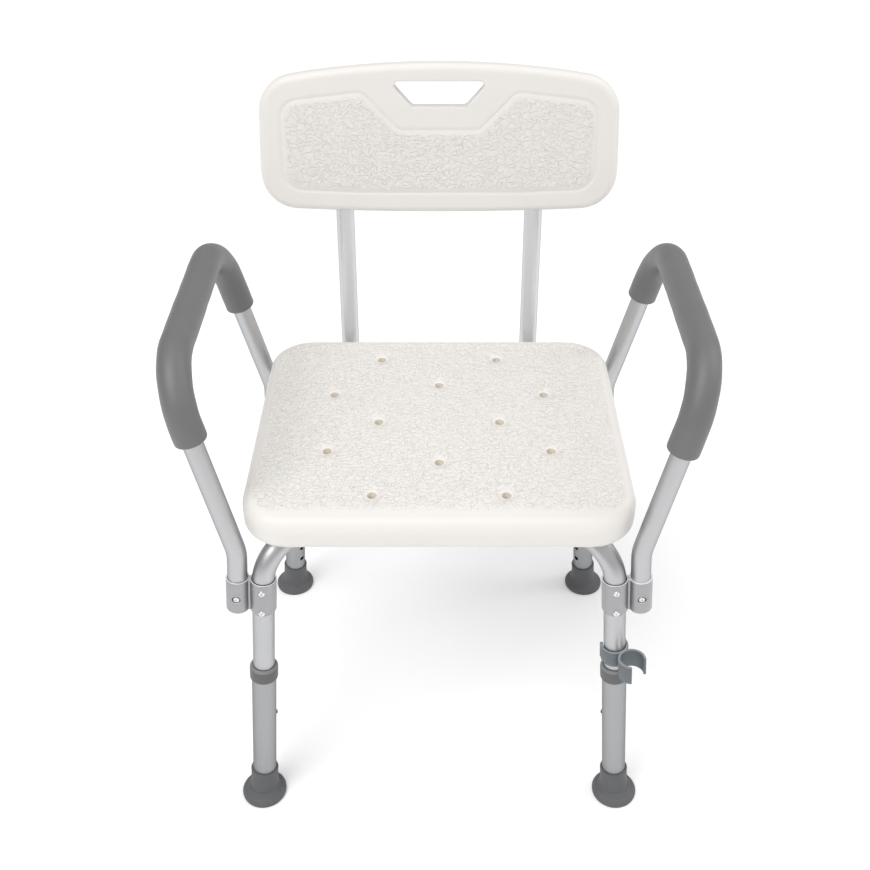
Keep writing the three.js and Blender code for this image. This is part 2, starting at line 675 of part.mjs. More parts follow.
// ---- clamps, rivets and arm screws ----
function makeClamp(leg) {
  const group = legGroup(leg);
  const side = leg.sx * CLAMP_PITCH;
  const web = block(
    [Math.min(0, side), -CLAMP_WEB / 2, CLAMP_BOTTOM],
    [Math.max(0, side), CLAMP_WEB / 2, CLAMP_TOP],
  );
  const armBore = rod(CLAMP_ARM_BORE, CLAMP_BOTTOM - 1, CLAMP_TOP + 1, ARM_SIDES);
  let clamp = rod(CLAMP_R, CLAMP_BOTTOM, CLAMP_TOP).add(web);
  clamp = clamp.add(moved(rod(CLAMP_ARM_R, CLAMP_BOTTOM, CLAMP_TOP), side, 0, 0));
  clamp = clamp.subtract(rod(CLAMP_BORE, CLAMP_BOTTOM - 1, CLAMP_TOP + 1));
  clamp = clamp.subtract(moved(armBore, side, 0, 0));
  for (const height of RIVET_INSET) {
    const hole = rod(RIVET_R + GAP, 0, CLAMP_R + 2, 8);
    clamp = clamp.subtract(aimed(hole, V(0, 0, CLAMP_BOTTOM + height), leg.face));
  }
  const screwPlace = V(side, 0, ARM_SCREW_LEVEL);
  const opening = rod(ARM_SCREW_WINDOW_R, 0, CLAMP_ARM_R + 2, 10);
  clamp = clamp.subtract(aimed(opening, screwPlace, leg.face));
  addMesh(group, `arm_clamp_${leg.name}`, clamp, CLAMP_METAL);

  RIVET_INSET.forEach((height, i) => {
    const rivet = turned(
      [
        [0, FRAME_TUBE_R - 4],
        [RIVET_R, FRAME_TUBE_R - 4],
        [RIVET_R, CLAMP_R + GAP],
        [RIVET_HEAD_R, CLAMP_R + GAP],
        [RIVET_HEAD_R * 0.75, CLAMP_R + 1.5],
        [0, CLAMP_R + 2.1],
      ],
      8,
    );
    const place = ["lower", "upper"][i];
    const body = aimed(rivet, V(0, 0, CLAMP_BOTTOM + height), leg.face);
    addMesh(group, `clamp_rivet_${place}_${leg.name}`, body, BRIGHT_METAL);
  });

  const armScrew = turned(
    [
      [0, ARM_TUBE_R - 7],
      [ARM_SCREW_R, ARM_TUBE_R - 7],
      [ARM_SCREW_R, ARM_TUBE_R + GAP],
      [ARM_SCREW_HEAD_R, ARM_TUBE_R + GAP],
      [ARM_SCREW_HEAD_R * 0.8, CLAMP_ARM_R - 0.1],
      [0, CLAMP_ARM_R + 0.2],
    ],
    10,
  );
  addMesh(group, `arm_screw_${leg.name}`, aimed(armScrew, screwPlace, leg.face), BRIGHT_METAL);
}

// ---- arms ----
// Corners of one arm's centre line from its front clamp to its rear clamp; cut back to a level for the pad.
function armCorners(s) {
  const [front, rear] = LEGS.filter((leg) => leg.sx === s);
  const inBarrel = (leg, height) =>
    V(leg.sx * CLAMP_PITCH, 0, height).applyQuaternion(leg.turn).add(leg.foot);
  const half = (leg) => [
    { at: inBarrel(leg, ARM_END) },
    { at: inBarrel(leg, ARM_ELBOW), r: ARM_ELBOW_R },
    { at: V(s * ARM_HALF_SPREAD, leg.sy * ARM_HALF_LENGTH, ARM_LEVEL), r: ARM_CORNER_R },
  ];
  return [...half(front), ...half(rear).reverse()];
}

function makeArm(s, side, slip) {
  const corners = armCorners(s);
  let tube = tubeAlong(new BentPath(corners, 20), ARM_TUBE_R, ARM_TUBE_R - ARM_WALL, ARM_SIDES);
  for (const leg of LEGS.filter((l) => l.sx === s)) {
    const from = V(leg.sx * CLAMP_PITCH, 0, ARM_SCREW_LEVEL).applyMatrix4(leg.matrix);
    tube = tube.subtract(aimed(rod(ARM_SCREW_R + GAP, 0, ARM_TUBE_R + 2, 8), from, faceway(leg)));
  }
  addMesh(chair, `arm_tube_${side}`, tube, TUBE_METAL);

  const onLeg = (low, high, level) => low.clone().lerp(high, (level - low.z) / (high.z - low.z));
  const padPath = new BentPath(
    [
      { at: onLeg(corners[1].at, corners[2].at, PAD_END_LEVEL - slip) },
      corners[2],
      corners[3],
      { at: onLeg(corners[4].at, corners[3].at, PAD_END_LEVEL + slip) },
    ],
    20,
  );
  const pad = tubeAlong(padPath, PAD_R, (ARM_TUBE_R + GAP) * ARM_FIT, ARM_SIDES);
  addMesh(chair, `arm_pad_${side}`, pad, GREY_FOAM);
}

// ---- back posts, receivers and backrest ----
// Places on a back post's slope: up the slope, and ahead of the post's axis.
const slopeUp = V(0, Math.sin(RECLINE), Math.cos(RECLINE));
const slopeAhead = V(0, -Math.cos(RECLINE), Math.sin(RECLINE));
const onSlope = (x, up, ahead) =>
  V(x, POST_AXIS_Y, SEAT_TOP).addScaledVector(slopeUp, up).addScaledVector(slopeAhead, ahead);
// The panel is drawn flat, +X right, +Y up the slope and +Z ahead, and stood up by this matrix.
const slopeMatrix = new THREE.Matrix4()
  .makeBasis(V(1, 0, 0), slopeUp, slopeAhead)
  .setPosition(onSlope(0, 0, 0));

function makePost(s, side) {
  const x = s * POST_HALF_SPREAD;
  const down = (SEAT_TOP - POST_LEVEL) / Math.cos(RECLINE);
  const path = new BentPath(
    [
      { at: V(x, POST_FRONT, POST_LEVEL) },
      { at: onSlope(x, -down, 0), r: POST_BEND_R },
      { at: onSlope(x, POST_LENGTH, 0) },
    ],
    20,
  );
  let tube = tubeAlong(path, POST_R, POST_R - POST_WALL, ARM_SIDES);
  const screwHole = rod(SCREW_R + GAP, POST_LEVEL - 2 * POST_R, SEAT_BOTTOM, 8);
  tube = tube.subtract(moved(screwHole, x, RECEIVER_SCREW_Y, 0));
  const backHole = rod(ARM_SCREW_R + GAP, 0, POST_R + 2, 8);
  tube = tube.subtract(aimed(backHole, onSlope(x, BACK_SCREW_SLOPE, 0), slopeAhead.clone().negate()));
  addMesh(chair, `back_post_${side}`, tube, TUBE_METAL);

  const low = POST_LEVEL - POST_R - RECEIVER_FLOOR;
  const top = SEAT_BOTTOM - GAP;
  let receiver = block(
    [x - RECEIVER_WIDTH / 2, RECEIVER_FRONT, low],
    [x + RECEIVER_WIDTH / 2, RECEIVER_FRONT + RECEIVER_LENGTH, top],
  );
  const bore = rod((POST_R + 0.2) * ARM_FIT, -1, RECEIVER_LENGTH + 1, ARM_SIDES);
  receiver = receiver.subtract(aimed(bore, V(x, RECEIVER_FRONT, POST_LEVEL), V(0, 1, 0)));
  receiver = receiver.subtract(moved(rod(SCREW_R + GAP, low - 1, top + 1, 8), x, RECEIVER_SCREW_Y, 0));
  addMesh(chair, `back_receiver_${side}`, receiver, GREY_PLASTIC);
  const long = screw(SEAT_BOTTOM + SCREW_DEPTH - low, SCREW_R);
  addMesh(chair, `receiver_screw_${side}`, moved(long, x, RECEIVER_SCREW_Y, low - GAP), BRIGHT_METAL);
}

// The panel's outline: crowned top and bottom, sides that close in a little towards the bottom.
function backOutline(inset) {
  const high = (share) => BACK_TOP - inset - (BACK_TOP - BACK_TOP_CORNER) * share * share;
  const low = (share) => BACK_BOTTOM + inset + (BACK_BOTTOM_CORNER - BACK_BOTTOM) * share * share;
  const wide = BACK_HALF_TOP - inset;
  const narrow = BACK_HALF_BOTTOM - inset;
  const waist = BACK_HALF_WAIST - inset;
  const shares = [-2 / 3, -1 / 3, 0, 1 / 3, 2 / 3];
  return rounded([
    [-narrow, low(1), BACK_BOTTOM_R - inset],
    ...shares.map((k) => [k * narrow, low(k), 0]),
    [narrow, low(1), BACK_BOTTOM_R - inset],
    [waist, BACK_WAIST, 0],
    [wide, high(1), BACK_TOP_R - inset],
    ...shares.map((k) => [-k * wide, high(k), 0]),
    [-wide, high(1), BACK_TOP_R - inset],
    [-waist, BACK_WAIST, 0],
  ]);
}

function slotOutline(grow) {
  return rounded([
    [-SLOT_HALF_BOTTOM - grow, SLOT_BOTTOM - grow, SLOT_CORNER_R],
    [SLOT_HALF_BOTTOM + grow, SLOT_BOTTOM - grow, SLOT_CORNER_R],
    [SLOT_HALF_TOP + grow, SLOT_TOP + grow, SLOT_CORNER_R],
    [-SLOT_HALF_TOP - grow, SLOT_TOP + grow, SLOT_CORNER_R],
  ]);
}

function makeBackrest() {
  const bore = (POST_R + 0.2) * ARM_FIT;
  const socketR = bore + SOCKET_WALL;
  const roof = SOCKET_TOP + SOCKET_WALL;
  const upright = (x, radius, low, high) =>
    moved(aimed(rod(radius, low, high, ARM_SIDES), V(0, 0, 0), V(0, 1, 0)), x, 0, 0);
  const fromBehind = (radius, length, x, y) =>
    aimed(rod(radius, 0, length, 8), V(x, y, 0), V(0, 0, -1));
  const [floor, face] = [BACK_REAR + BACK_WALL, BACK_FRONT - BACK_WALL];
  let body = plate(backOutline(0), BACK_REAR, BACK_FRONT, BACK_EDGE_R, 2, 3);
  let hollow = plate(backOutline(BACK_WALL), floor, face, 0, 1, 2);
  hollow = hollow.subtract(plate(slotOutline(BACK_WALL), BACK_REAR, BACK_FRONT, 0, 1, 2));
  for (const x of [-POST_HALF_SPREAD, POST_HALF_SPREAD]) {
    body = body.add(upright(x, socketR, BACK_BOTTOM + BACK_EDGE_R, roof));
    hollow = hollow.subtract(upright(x, socketR, BACK_BOTTOM, roof));
  }
  body = body.subtract(hollow);
  body = body.subtract(plate(slotOutline(0), -socketR, BACK_FRONT + 1, 0, 1, 2));
  for (const x of [-POST_HALF_SPREAD, POST_HALF_SPREAD]) {
    body = body.subtract(upright(x, bore, BACK_BOTTOM - 5, SOCKET_TOP));
    body = body.subtract(fromBehind(ARM_SCREW_R + GAP, socketR + 2, x, BACK_SCREW_SLOPE));
  }
  // the vents left by blowing the three hollows that the sockets divide
  for (const x of [-BACK_VENT_SPREAD, 0, BACK_VENT_SPREAD])
    body = body.subtract(fromBehind(VENT_R, 1 - BACK_REAR, x, BACK_BOTTOM + BACK_VENT_INSET));
  addMesh(chair, "backrest", placed(body, slopeMatrix), WHITE_PLASTIC);

  const backScrew = screw(BACK_SCREW_LENGTH, ARM_SCREW_R);
  for (const [side, x] of [
    ["left", -POST_HALF_SPREAD],
    ["right", POST_HALF_SPREAD],
  ]) {
    const at = moved(backScrew, x, BACK_SCREW_SLOPE, -socketR - GAP);
    addMesh(chair, `backrest_screw_${side}`, placed(at, slopeMatrix), BRIGHT_METAL);
  }
}

// ---- shower head clip: one open ring snapped on a frame tube, a second one beside it ----
function openRing(inner, outer, mouth, bearing, bottom) {
  const shape = new THREE.Shape();
  const [from, to] = [bearing + mouth / 2, bearing + 2 * Math.PI - mouth / 2];
  shape.absarc(0, 0, outer, from, to, false);
  shape.absarc(0, 0, inner, to, from, true);
  shape.closePath();
  return plate(shape, bottom, CLIP_BOTTOM + CLIP_HEIGHT, 0, 1, 9);
}

function makeClip(leg) {
  const inner = (FRAME_TUBE_R + 0.15) * FIT;
  const outer = inner + CLIP_WALL;
  const reach = outer + HOLDER_R - CLIP_WALL * 0.7;
  let grip = openRing(inner, outer, CLIP_MOUTH, CLIP_MOUTH_BEARING, CLIP_BOTTOM);
  for (const lip of [CLIP_MOUTH_BEARING - CLIP_MOUTH / 2, CLIP_MOUTH_BEARING + CLIP_MOUTH / 2]) {
    const bead = rod(CLIP_BEAD_R, CLIP_BOTTOM, CLIP_BOTTOM + CLIP_HEIGHT, 8);
    const out = outer - CLIP_WALL / 2 + 0.6;
    grip = grip.add(moved(bead, out * Math.cos(lip), out * Math.sin(lip), 0));
  }
  const holder = openRing(
    HOLDER_R - CLIP_WALL,
    HOLDER_R,
    HOLDER_MOUTH,
    HOLDER_MOUTH_BEARING,
    CLIP_BOTTOM - HOLDER_DROP,
  );
  const [x, y] = [reach * Math.cos(CLIP_BEARING), reach * Math.sin(CLIP_BEARING)];
  addMesh(legGroup(leg), "shower_head_clip", grip.add(moved(holder, x, y, 0)), GREY_PLASTIC);
}

// ---- assembly ----
addMesh(chair, "seat", makeSeat(), WHITE_PLASTIC);
makeFrame();
makeSeatScrews();
for (const leg of LEGS) {
  makeLeg(leg);
  makeFoot(leg);
  makeClamp(leg);
}
[-1, 1].forEach((s, i) => {
  makeArm(s, ["left", "right"][i], PAD_SLIP[i]);
  makePost(s, ["left", "right"][i]);
});
makeBackrest();
makeClip(LEGS[1]);

chair.updateMatrixWorld(true);
const box = new THREE.Box3().setFromObject(chair, true);
chair.position.y = -(box.min.y + box.max.y) / 2;
chair.position.x = -(box.min.x + box.max.x) / 2;

export default chair;
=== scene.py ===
"""Looks of the shower chair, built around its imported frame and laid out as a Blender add-on."""

import json
import math

import bmesh
import bpy
import numpy as np
from bpy.props import FloatProperty, FloatVectorProperty, PointerProperty
from mathutils import Matrix, Vector


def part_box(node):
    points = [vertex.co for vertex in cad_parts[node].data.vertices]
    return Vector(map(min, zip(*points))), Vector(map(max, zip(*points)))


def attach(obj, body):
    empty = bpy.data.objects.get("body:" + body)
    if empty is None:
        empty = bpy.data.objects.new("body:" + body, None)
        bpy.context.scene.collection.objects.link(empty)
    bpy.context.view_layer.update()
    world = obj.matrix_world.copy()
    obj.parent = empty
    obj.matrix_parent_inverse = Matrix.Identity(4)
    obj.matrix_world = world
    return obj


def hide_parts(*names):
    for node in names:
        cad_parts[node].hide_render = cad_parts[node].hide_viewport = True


bl_info = {
    "name": "Shower Chair",
    "version": (1, 0, 0),
    "blender": (4, 5, 0),
    "location": "3D View > Sidebar > Shower Chair",
    "description": "Makes the pieces, finishes and stage of a shower chair around its frame",
    "category": "Object",
}

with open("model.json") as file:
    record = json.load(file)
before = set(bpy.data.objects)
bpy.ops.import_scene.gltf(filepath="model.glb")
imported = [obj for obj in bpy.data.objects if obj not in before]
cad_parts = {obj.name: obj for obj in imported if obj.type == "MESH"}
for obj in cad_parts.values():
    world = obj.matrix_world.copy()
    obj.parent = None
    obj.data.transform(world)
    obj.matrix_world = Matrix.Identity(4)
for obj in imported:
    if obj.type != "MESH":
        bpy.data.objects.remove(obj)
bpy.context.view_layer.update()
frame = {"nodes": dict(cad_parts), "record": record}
RECORD = frame["record"]

# ---- places that the frame gives, in metres ----
MM = 0.001
UP = Vector((0, 0, 1))
FEET = {m["name"][len("foot_"):]: Vector(m["pos_m"]) for m in RECORD["mounts"]}
JOINTS = {j["name"]: j for j in RECORD["behaviour"]["joints"]}
LEG_NAMES = ("front_left", "front_right", "rear_left", "rear_right")
SIDES_OF = {"left": -1, "right": 1}
CENTRE = sum(FEET.values(), Vector()) / len(FEET)
SEAT_LOW, SEAT_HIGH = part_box("seat")


def aim(start, way):
    """Matrix that puts the origin at a place and +Z along a direction."""
    return Matrix.Translation(start) @ UP.rotation_difference(Vector(way)).to_matrix().to_4x4()


def leg_axis(leg):
    return Vector(JOINTS[f"leg_slide_{leg}"]["axis"]).normalized()


def leg_matrix(leg):
    """The leg's own frame: origin on the floor, +Z up the leaning axis."""
    return aim(FEET[leg], leg_axis(leg))


def out_x(leg):
    return -1 if leg.endswith("left") else 1


def out_y(leg):
    return -1 if leg.startswith("front") else 1


def inboard(leg):
    way = CENTRE - FEET[leg]
    way.z = 0
    return way.normalized()


SPLAY = leg_axis("front_left").angle(UP)
DIAGONAL = (FEET["front_left"] - CENTRE).length

# ---- sizes of the chair, in metres ----
TUBE_LIP = 0.4 * MM
FRAME_TUBE_R = 12.5 * MM
FRAME_WALL = 1.3 * MM
FRAME_TUBE_END = 110 * MM
FRAME_BEND_R = 47 * MM
CROSS_LEVEL = 392.3 * MM
CROSSING_GAP = 0.8 * MM
DIP_HALF = 38 * MM
DIP_RAMP = 34 * MM
DIP_BEND_R = 38 * MM
LEG_R = 14.3 * MM
LEG_BORE = 13.1 * MM
LEG_BOTTOM = 10.3 * MM
LEG_TOP = 222 * MM
HOLE_R = 3.6 * MM
HOLE_FIRST = 66.5 * MM
HOLE_PITCH = 22.4 * MM
HOLE_COUNT = 7
BUTTON_HEIGHT = HOLE_FIRST + 3 * HOLE_PITCH
COLLAR_TOP = 224.4 * MM
COLLAR_BOTTOM = 205.4 * MM
COLLAR_R = 16.5 * MM
FOOT_R = 27.8 * MM
FOOT_CUP_R = 16.6 * MM
FOOT_CUP_TOP = 46 * MM
CLAMP_BOTTOM = 310 * MM
CLAMP_TOP = 354.5 * MM
CLAMP_R = 14.76 * MM
CLAMP_BORE = 13.15 * MM
CLAMP_ARM_R = 13.08 * MM
CLAMP_ARM_BORE = 11.5 * MM
CLAMP_PITCH = 28.44 * MM
CLAMP_WEB = 9 * MM
RIVET_LEVELS = {"lower": 315.2 * MM, "upper": 344.2 * MM}
ARM_SCREW_LEVEL = 331 * MM
ARM_TUBE_R = 11.1 * MM
ARM_WALL = 1.2 * MM
ARM_END = 312 * MM
ARM_ELBOW = 389 * MM
ARM_ELBOW_R = 62 * MM
ARM_SPREAD = 269 * MM
ARM_HALF_LENGTH = 146 * MM
ARM_LEVEL = 609 * MM
ARM_CORNER_R = 66 * MM
PAD_R = 17.6 * MM
PAD_END = 524 * MM
PAD_SLIP = {"left": -9.5 * MM, "right": 4 * MM}
SEAT_THICKNESS = 40 * MM
SEAT_CORNER_R = 52 * MM
SEAT_EDGE_R = 13 * MM
DRAIN_R = 5.5 * MM
DRAIN_PLACES = ((127, 56), (71, 0), (72.7, 134), (0, 76.6))
BOSS_R = 8 * MM
BOLT_POCKET_R = 12 * MM
SCREW_R = 2.5 * MM
SEAT_SCREW_REACH = 130 * MM
POST_R = 11.1 * MM
POST_WALL = 1.2 * MM
POST_SPREAD = 117.6 * MM
POST_LEVEL = 392.6 * MM
POST_BEND_R = 33 * MM
POST_LENGTH = 324 * MM
RECLINE = math.radians(8.1)
RECEIVER_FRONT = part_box("back_receiver_left")[0].y
POST_AXIS_Y = CENTRE.y + 204 * MM
SOCKET_R = 14.9 * MM
SOCKET_BOTTOM = 170 * MM
SOCKET_TOP = 330.5 * MM
SOCKET_BORE = 11.9 * MM
BACK_SCREW_LEVEL = 250 * MM
BACK_FRONT = 15 * MM
BACK_REAR = -8 * MM
BACK_EDGE_R = 8 * MM
CLIP_BOTTOM = 234 * MM
CLIP_HEIGHT = 21 * MM


# ---- shapes ----
def mesh_of(name, bm):
    """Mesh taken over from a finished bmesh."""
    mesh = bpy.data.meshes.new(name)
    bm.to_mesh(mesh)
    bm.free()
    return mesh


def loose(name, mesh):
    """Object in the scene that nothing rides yet."""
    tool = bpy.data.objects.new(name, mesh)
    bpy.context.scene.collection.objects.link(tool)
    return tool


def discard(tool):
    mesh = tool.data
    bpy.data.objects.remove(tool)
    bpy.data.meshes.remove(mesh)


def fillet(corners, closed=True, steps=5):
    """Points of an outline of (x, y, radius) corners, each rounded by an arc."""
    points = []
    for i, (x, y, r) in enumerate(corners):
        at = Vector((x, y))
        if r <= 0 or (not closed and i in (0, len(corners) - 1)):
            points.append(at)
            continue
        back = (Vector(corners[i - 1][:2]) - at).normalized()
        on = (Vector(corners[(i + 1) % len(corners)][:2]) - at).normalized()
        half = back.angle(on) / 2
        if half > math.radians(89):
            points.append(at)
            continue
        reach = r / math.tan(half)
        centre = at + (back + on).normalized() * (r / math.sin(half))
        first = at + back * reach - centre
        turn = first.angle_signed(at + on * reach - centre)
        for k in range(steps + 1):
            points.append(centre + Matrix.Rotation(-turn * k / steps, 2) @ first)
    return points


def skin(name, rings, closed):
    """A solid skinned over rings of equal count; a ring of one point is a tip."""
    bm = bmesh.new()
    made = [[bm.verts.new(p) for p in ring] for ring in rings]
    pairs = list(zip(made, made[1:]))
    if closed:
        pairs.append((made[-1], made[0]))
    for low, high in pairs:
        count = max(len(low), len(high))
        for k in range(count):
            n = (k + 1) % count
            corners = [low[i % len(low)] for i in (k, n)]
            corners += [high[i % len(high)] for i in (n, k)]
            face = list(dict.fromkeys(corners))
            if len(face) > 2:
                bm.faces.new(face)
    if not closed:
        for ring in (made[0], made[-1]):
            if len(ring) > 2:
                bm.faces.new(ring)
    bmesh.ops.recalc_face_normals(bm, faces=bm.faces)
    return mesh_of(name, bm)


def lathe(name, profile, sides=48, matrix=None):
    """Turned about +Z from (radius, height) points."""
    rings = []
    for r, z in profile:
        if r < 1e-7:
            rings.append([Vector((0, 0, z))])
            continue
        angles = [2 * math.pi * k / sides for k in range(sides)]
        rings.append([Vector((r * math.cos(a), r * math.sin(a), z)) for a in angles])
    closed = profile[0][0] > 1e-7 and profile[-1][0] > 1e-7
    mesh = skin(name, rings, closed)
    if matrix:
        mesh.transform(matrix)
    return mesh


def turned(name, corners, sides=48, matrix=None, steps=4):
    """A lathe whose profile corners carry their own rounding radius."""
    closed = corners[0][0] > 1e-7
    return lathe(name, [tuple(p) for p in fillet(corners, closed, steps)], sides, matrix)


def rod(radius, start, way, length, sides=32):
    """A plain round cutter from a place along a direction."""
    profile = [(0, 0), (radius, 0), (radius, length), (0, length)]
    return loose("cutter", lathe("cutter", profile, sides, aim(start, way)))


def stations(corners, step=math.radians(5)):
    """Places and directions along straights joined by arcs, from (point, bend radius) corners."""
    line = []
    for i, (at, r) in enumerate(corners):
        if i in (0, len(corners) - 1):
            other = corners[1][0] if i == 0 else corners[-2][0]
            way = (other - at) if i == 0 else (at - other)
            line.append((at.copy(), way.normalized()))
            continue
        arrive = (at - corners[i - 1][0]).normalized()
        leave = (corners[i + 1][0] - at).normalized()
        angle = arrive.angle(leave)
        side = (leave - arrive * arrive.dot(leave)).normalized()
        start = at - arrive * (r * math.tan(angle / 2))
        count = max(2, math.ceil(angle / step))
        for k in range(count + 1):
            turn = angle * k / count
            place = start + arrive * (r * math.sin(turn)) + side * (r * (1 - math.cos(turn)))
            line.append((place, arrive * math.cos(turn) + side * math.sin(turn)))
    return line


def frames_along(line):
    """Adds to each station two directions square to it, turned as little as possible."""
    way = line[0][1]
    across = way.orthogonal().normalized()
    framed = []
    for place, heading in line:
        across = way.rotation_difference(heading) @ across
        across = (across - heading * across.dot(heading)).normalized()
        way = heading
        framed.append((place, heading, across, heading.cross(across)))
    return framed


def ring_at(station, radius, shift=0.0, sides=40):
    place, heading, across, up = station
    middle = place + heading * shift
    angles = [2 * math.pi * k / sides for k in range(sides)]
    return [middle + across * (radius * math.cos(a)) + up * (radius * math.sin(a)) for a in angles]


def tube(name, corners, outer, wall):
    """A bent tube with softened ends."""
    framed = frames_along(stations(corners))
    first, last, between = framed[0], framed[-1], framed[1:-1]
    inner = outer - wall
    rings = [ring_at(first, outer - TUBE_LIP), ring_at(first, outer, TUBE_LIP)]
    rings += [ring_at(s, outer) for s in between]
    rings += [ring_at(last, outer, -TUBE_LIP), ring_at(last, outer - TUBE_LIP)]
    rings += [ring_at(s, inner) for s in (last, *reversed(between), first)]
    return skin(name, rings, True)


def inset_outline(points, inset):
    """The outline moved in square to itself."""
    moved = []
    for i, p in enumerate(points):
        way = points[(i + 1) % len(points)] - points[i - 1]
        normal = Vector((way.y, -way.x)).normalized()
        moved.append(p - normal * inset)
    return moved


def plate(name, outline, profile, matrix=None):
    """A slab from a counter-clockwise outline and (inset, height) steps from bottom to top."""
    rings = []
    for inset, z in profile:
        rings.append([Vector((p.x, p.y, z)) for p in inset_outline(outline, inset)])
    mesh = skin(name, rings, False)
    if matrix:
        mesh.transform(matrix)
    return mesh


def edged(low, high, r_low, r_high, steps=5):
    """Steps of a slab's side with rounded lower and upper edges."""
    profile = []
    for k in range(steps + 1):
        a = math.pi / 2 * k / steps
        profile.append((r_low * (1 - math.sin(a)), low + r_low * (1 - math.cos(a))))
    for k in range(steps + 1):
        a = math.pi / 2 * k / steps
        profile.append((r_high * (1 - math.cos(a)), high - r_high * (1 - math.sin(a))))
    return profile


def bake_modifiers(piece):
    bpy.context.view_layer.update()
    graph = bpy.context.evaluated_depsgraph_get()
    mesh = bpy.data.meshes.new_from_object(piece.evaluated_get(graph))
    old = piece.data
    piece.modifiers.clear()
    piece.data = mesh
    bpy.data.meshes.remove(old)


def combine(piece, tools, operation="DIFFERENCE"):
    """Cuts tools out of a piece, or joins them to it, and clears the tools away."""
    for tool in tools:
        step = piece.modifiers.new("combine", "BOOLEAN")
        step.operation = operation
        step.solver = "EXACT"
        step.object = tool
    bake_modifiers(piece)
    for tool in tools:
        discard(tool)


def gather(tools):
    """One tool out of several that lie apart."""
    bm = bmesh.new()
    for tool in tools:
        bm.from_mesh(tool.data)
        discard(tool)
    return loose("tools", mesh_of("tools", bm))


def reskin(piece, voxel, smoothing):
    """Evens a solid out into one soft moulded skin."""
    step = piece.modifiers.new("reskin", "REMESH")
    step.mode = "VOXEL"
    step.voxel_size = voxel
    soften = piece.modifiers.new("soften", "SMOOTH")
    soften.factor = 0.5
    soften.iterations = smoothing
    bake_modifiers(piece)


def shade(piece, sharp=35.0):
    """Smooth shading that keeps edges sharper than an angle."""
    bm = bmesh.new()
    bm.from_mesh(piece.data)
    limit = math.radians(sharp)
    for edge in bm.edges:
        edge.smooth = len(edge.link_faces) == 2 and edge.calc_face_angle(0) < limit
    for face in bm.faces:
        face.smooth = True
    bm.to_mesh(piece.data)
    bm.free()


def places(mesh):
    co = np.empty(len(mesh.vertices) * 3)
    mesh.vertices.foreach_get("co", co)
    return co.reshape(-1, 3)


def put_places(mesh, co):
    mesh.vertices.foreach_set("co", co.ravel())
    mesh.update()


def smoothstep(low, high, x):
    t = np.clip((x - low) / (high - low), 0, 1)
    return t * t * (3 - 2 * t)


def outline_distance(outline, x, y):
    """Distance from each point to a closed outline, negative inside."""
    best = np.full(x.shape, np.inf)
    inside = np.zeros(x.shape, bool)
    for i, b in enumerate(outline):
        a = outline[i - 1]
        dx, dy = b.x - a.x, b.y - a.y
        share = np.clip(((x - a.x) * dx + (y - a.y) * dy) / (dx * dx + dy * dy + 1e-18), 0, 1)
        best = np.minimum(best, np.hypot(x - a.x - share * dx, y - a.y - share * dy))
        crosses = (a.y > y) != (b.y > y)
        level = dy if abs(dy) > 1e-12 else 1e-12
        inside ^= crosses & (x < dx * (y - a.y) / level + a.x)
    return np.where(inside, -best, best)


def mark(mesh, name, values):
    """Stores a number at each point of a mesh for its finish to read."""
    layer = mesh.attributes.new(name, "FLOAT", "POINT")
    layer.data.foreach_set("value", values.astype(np.float32))


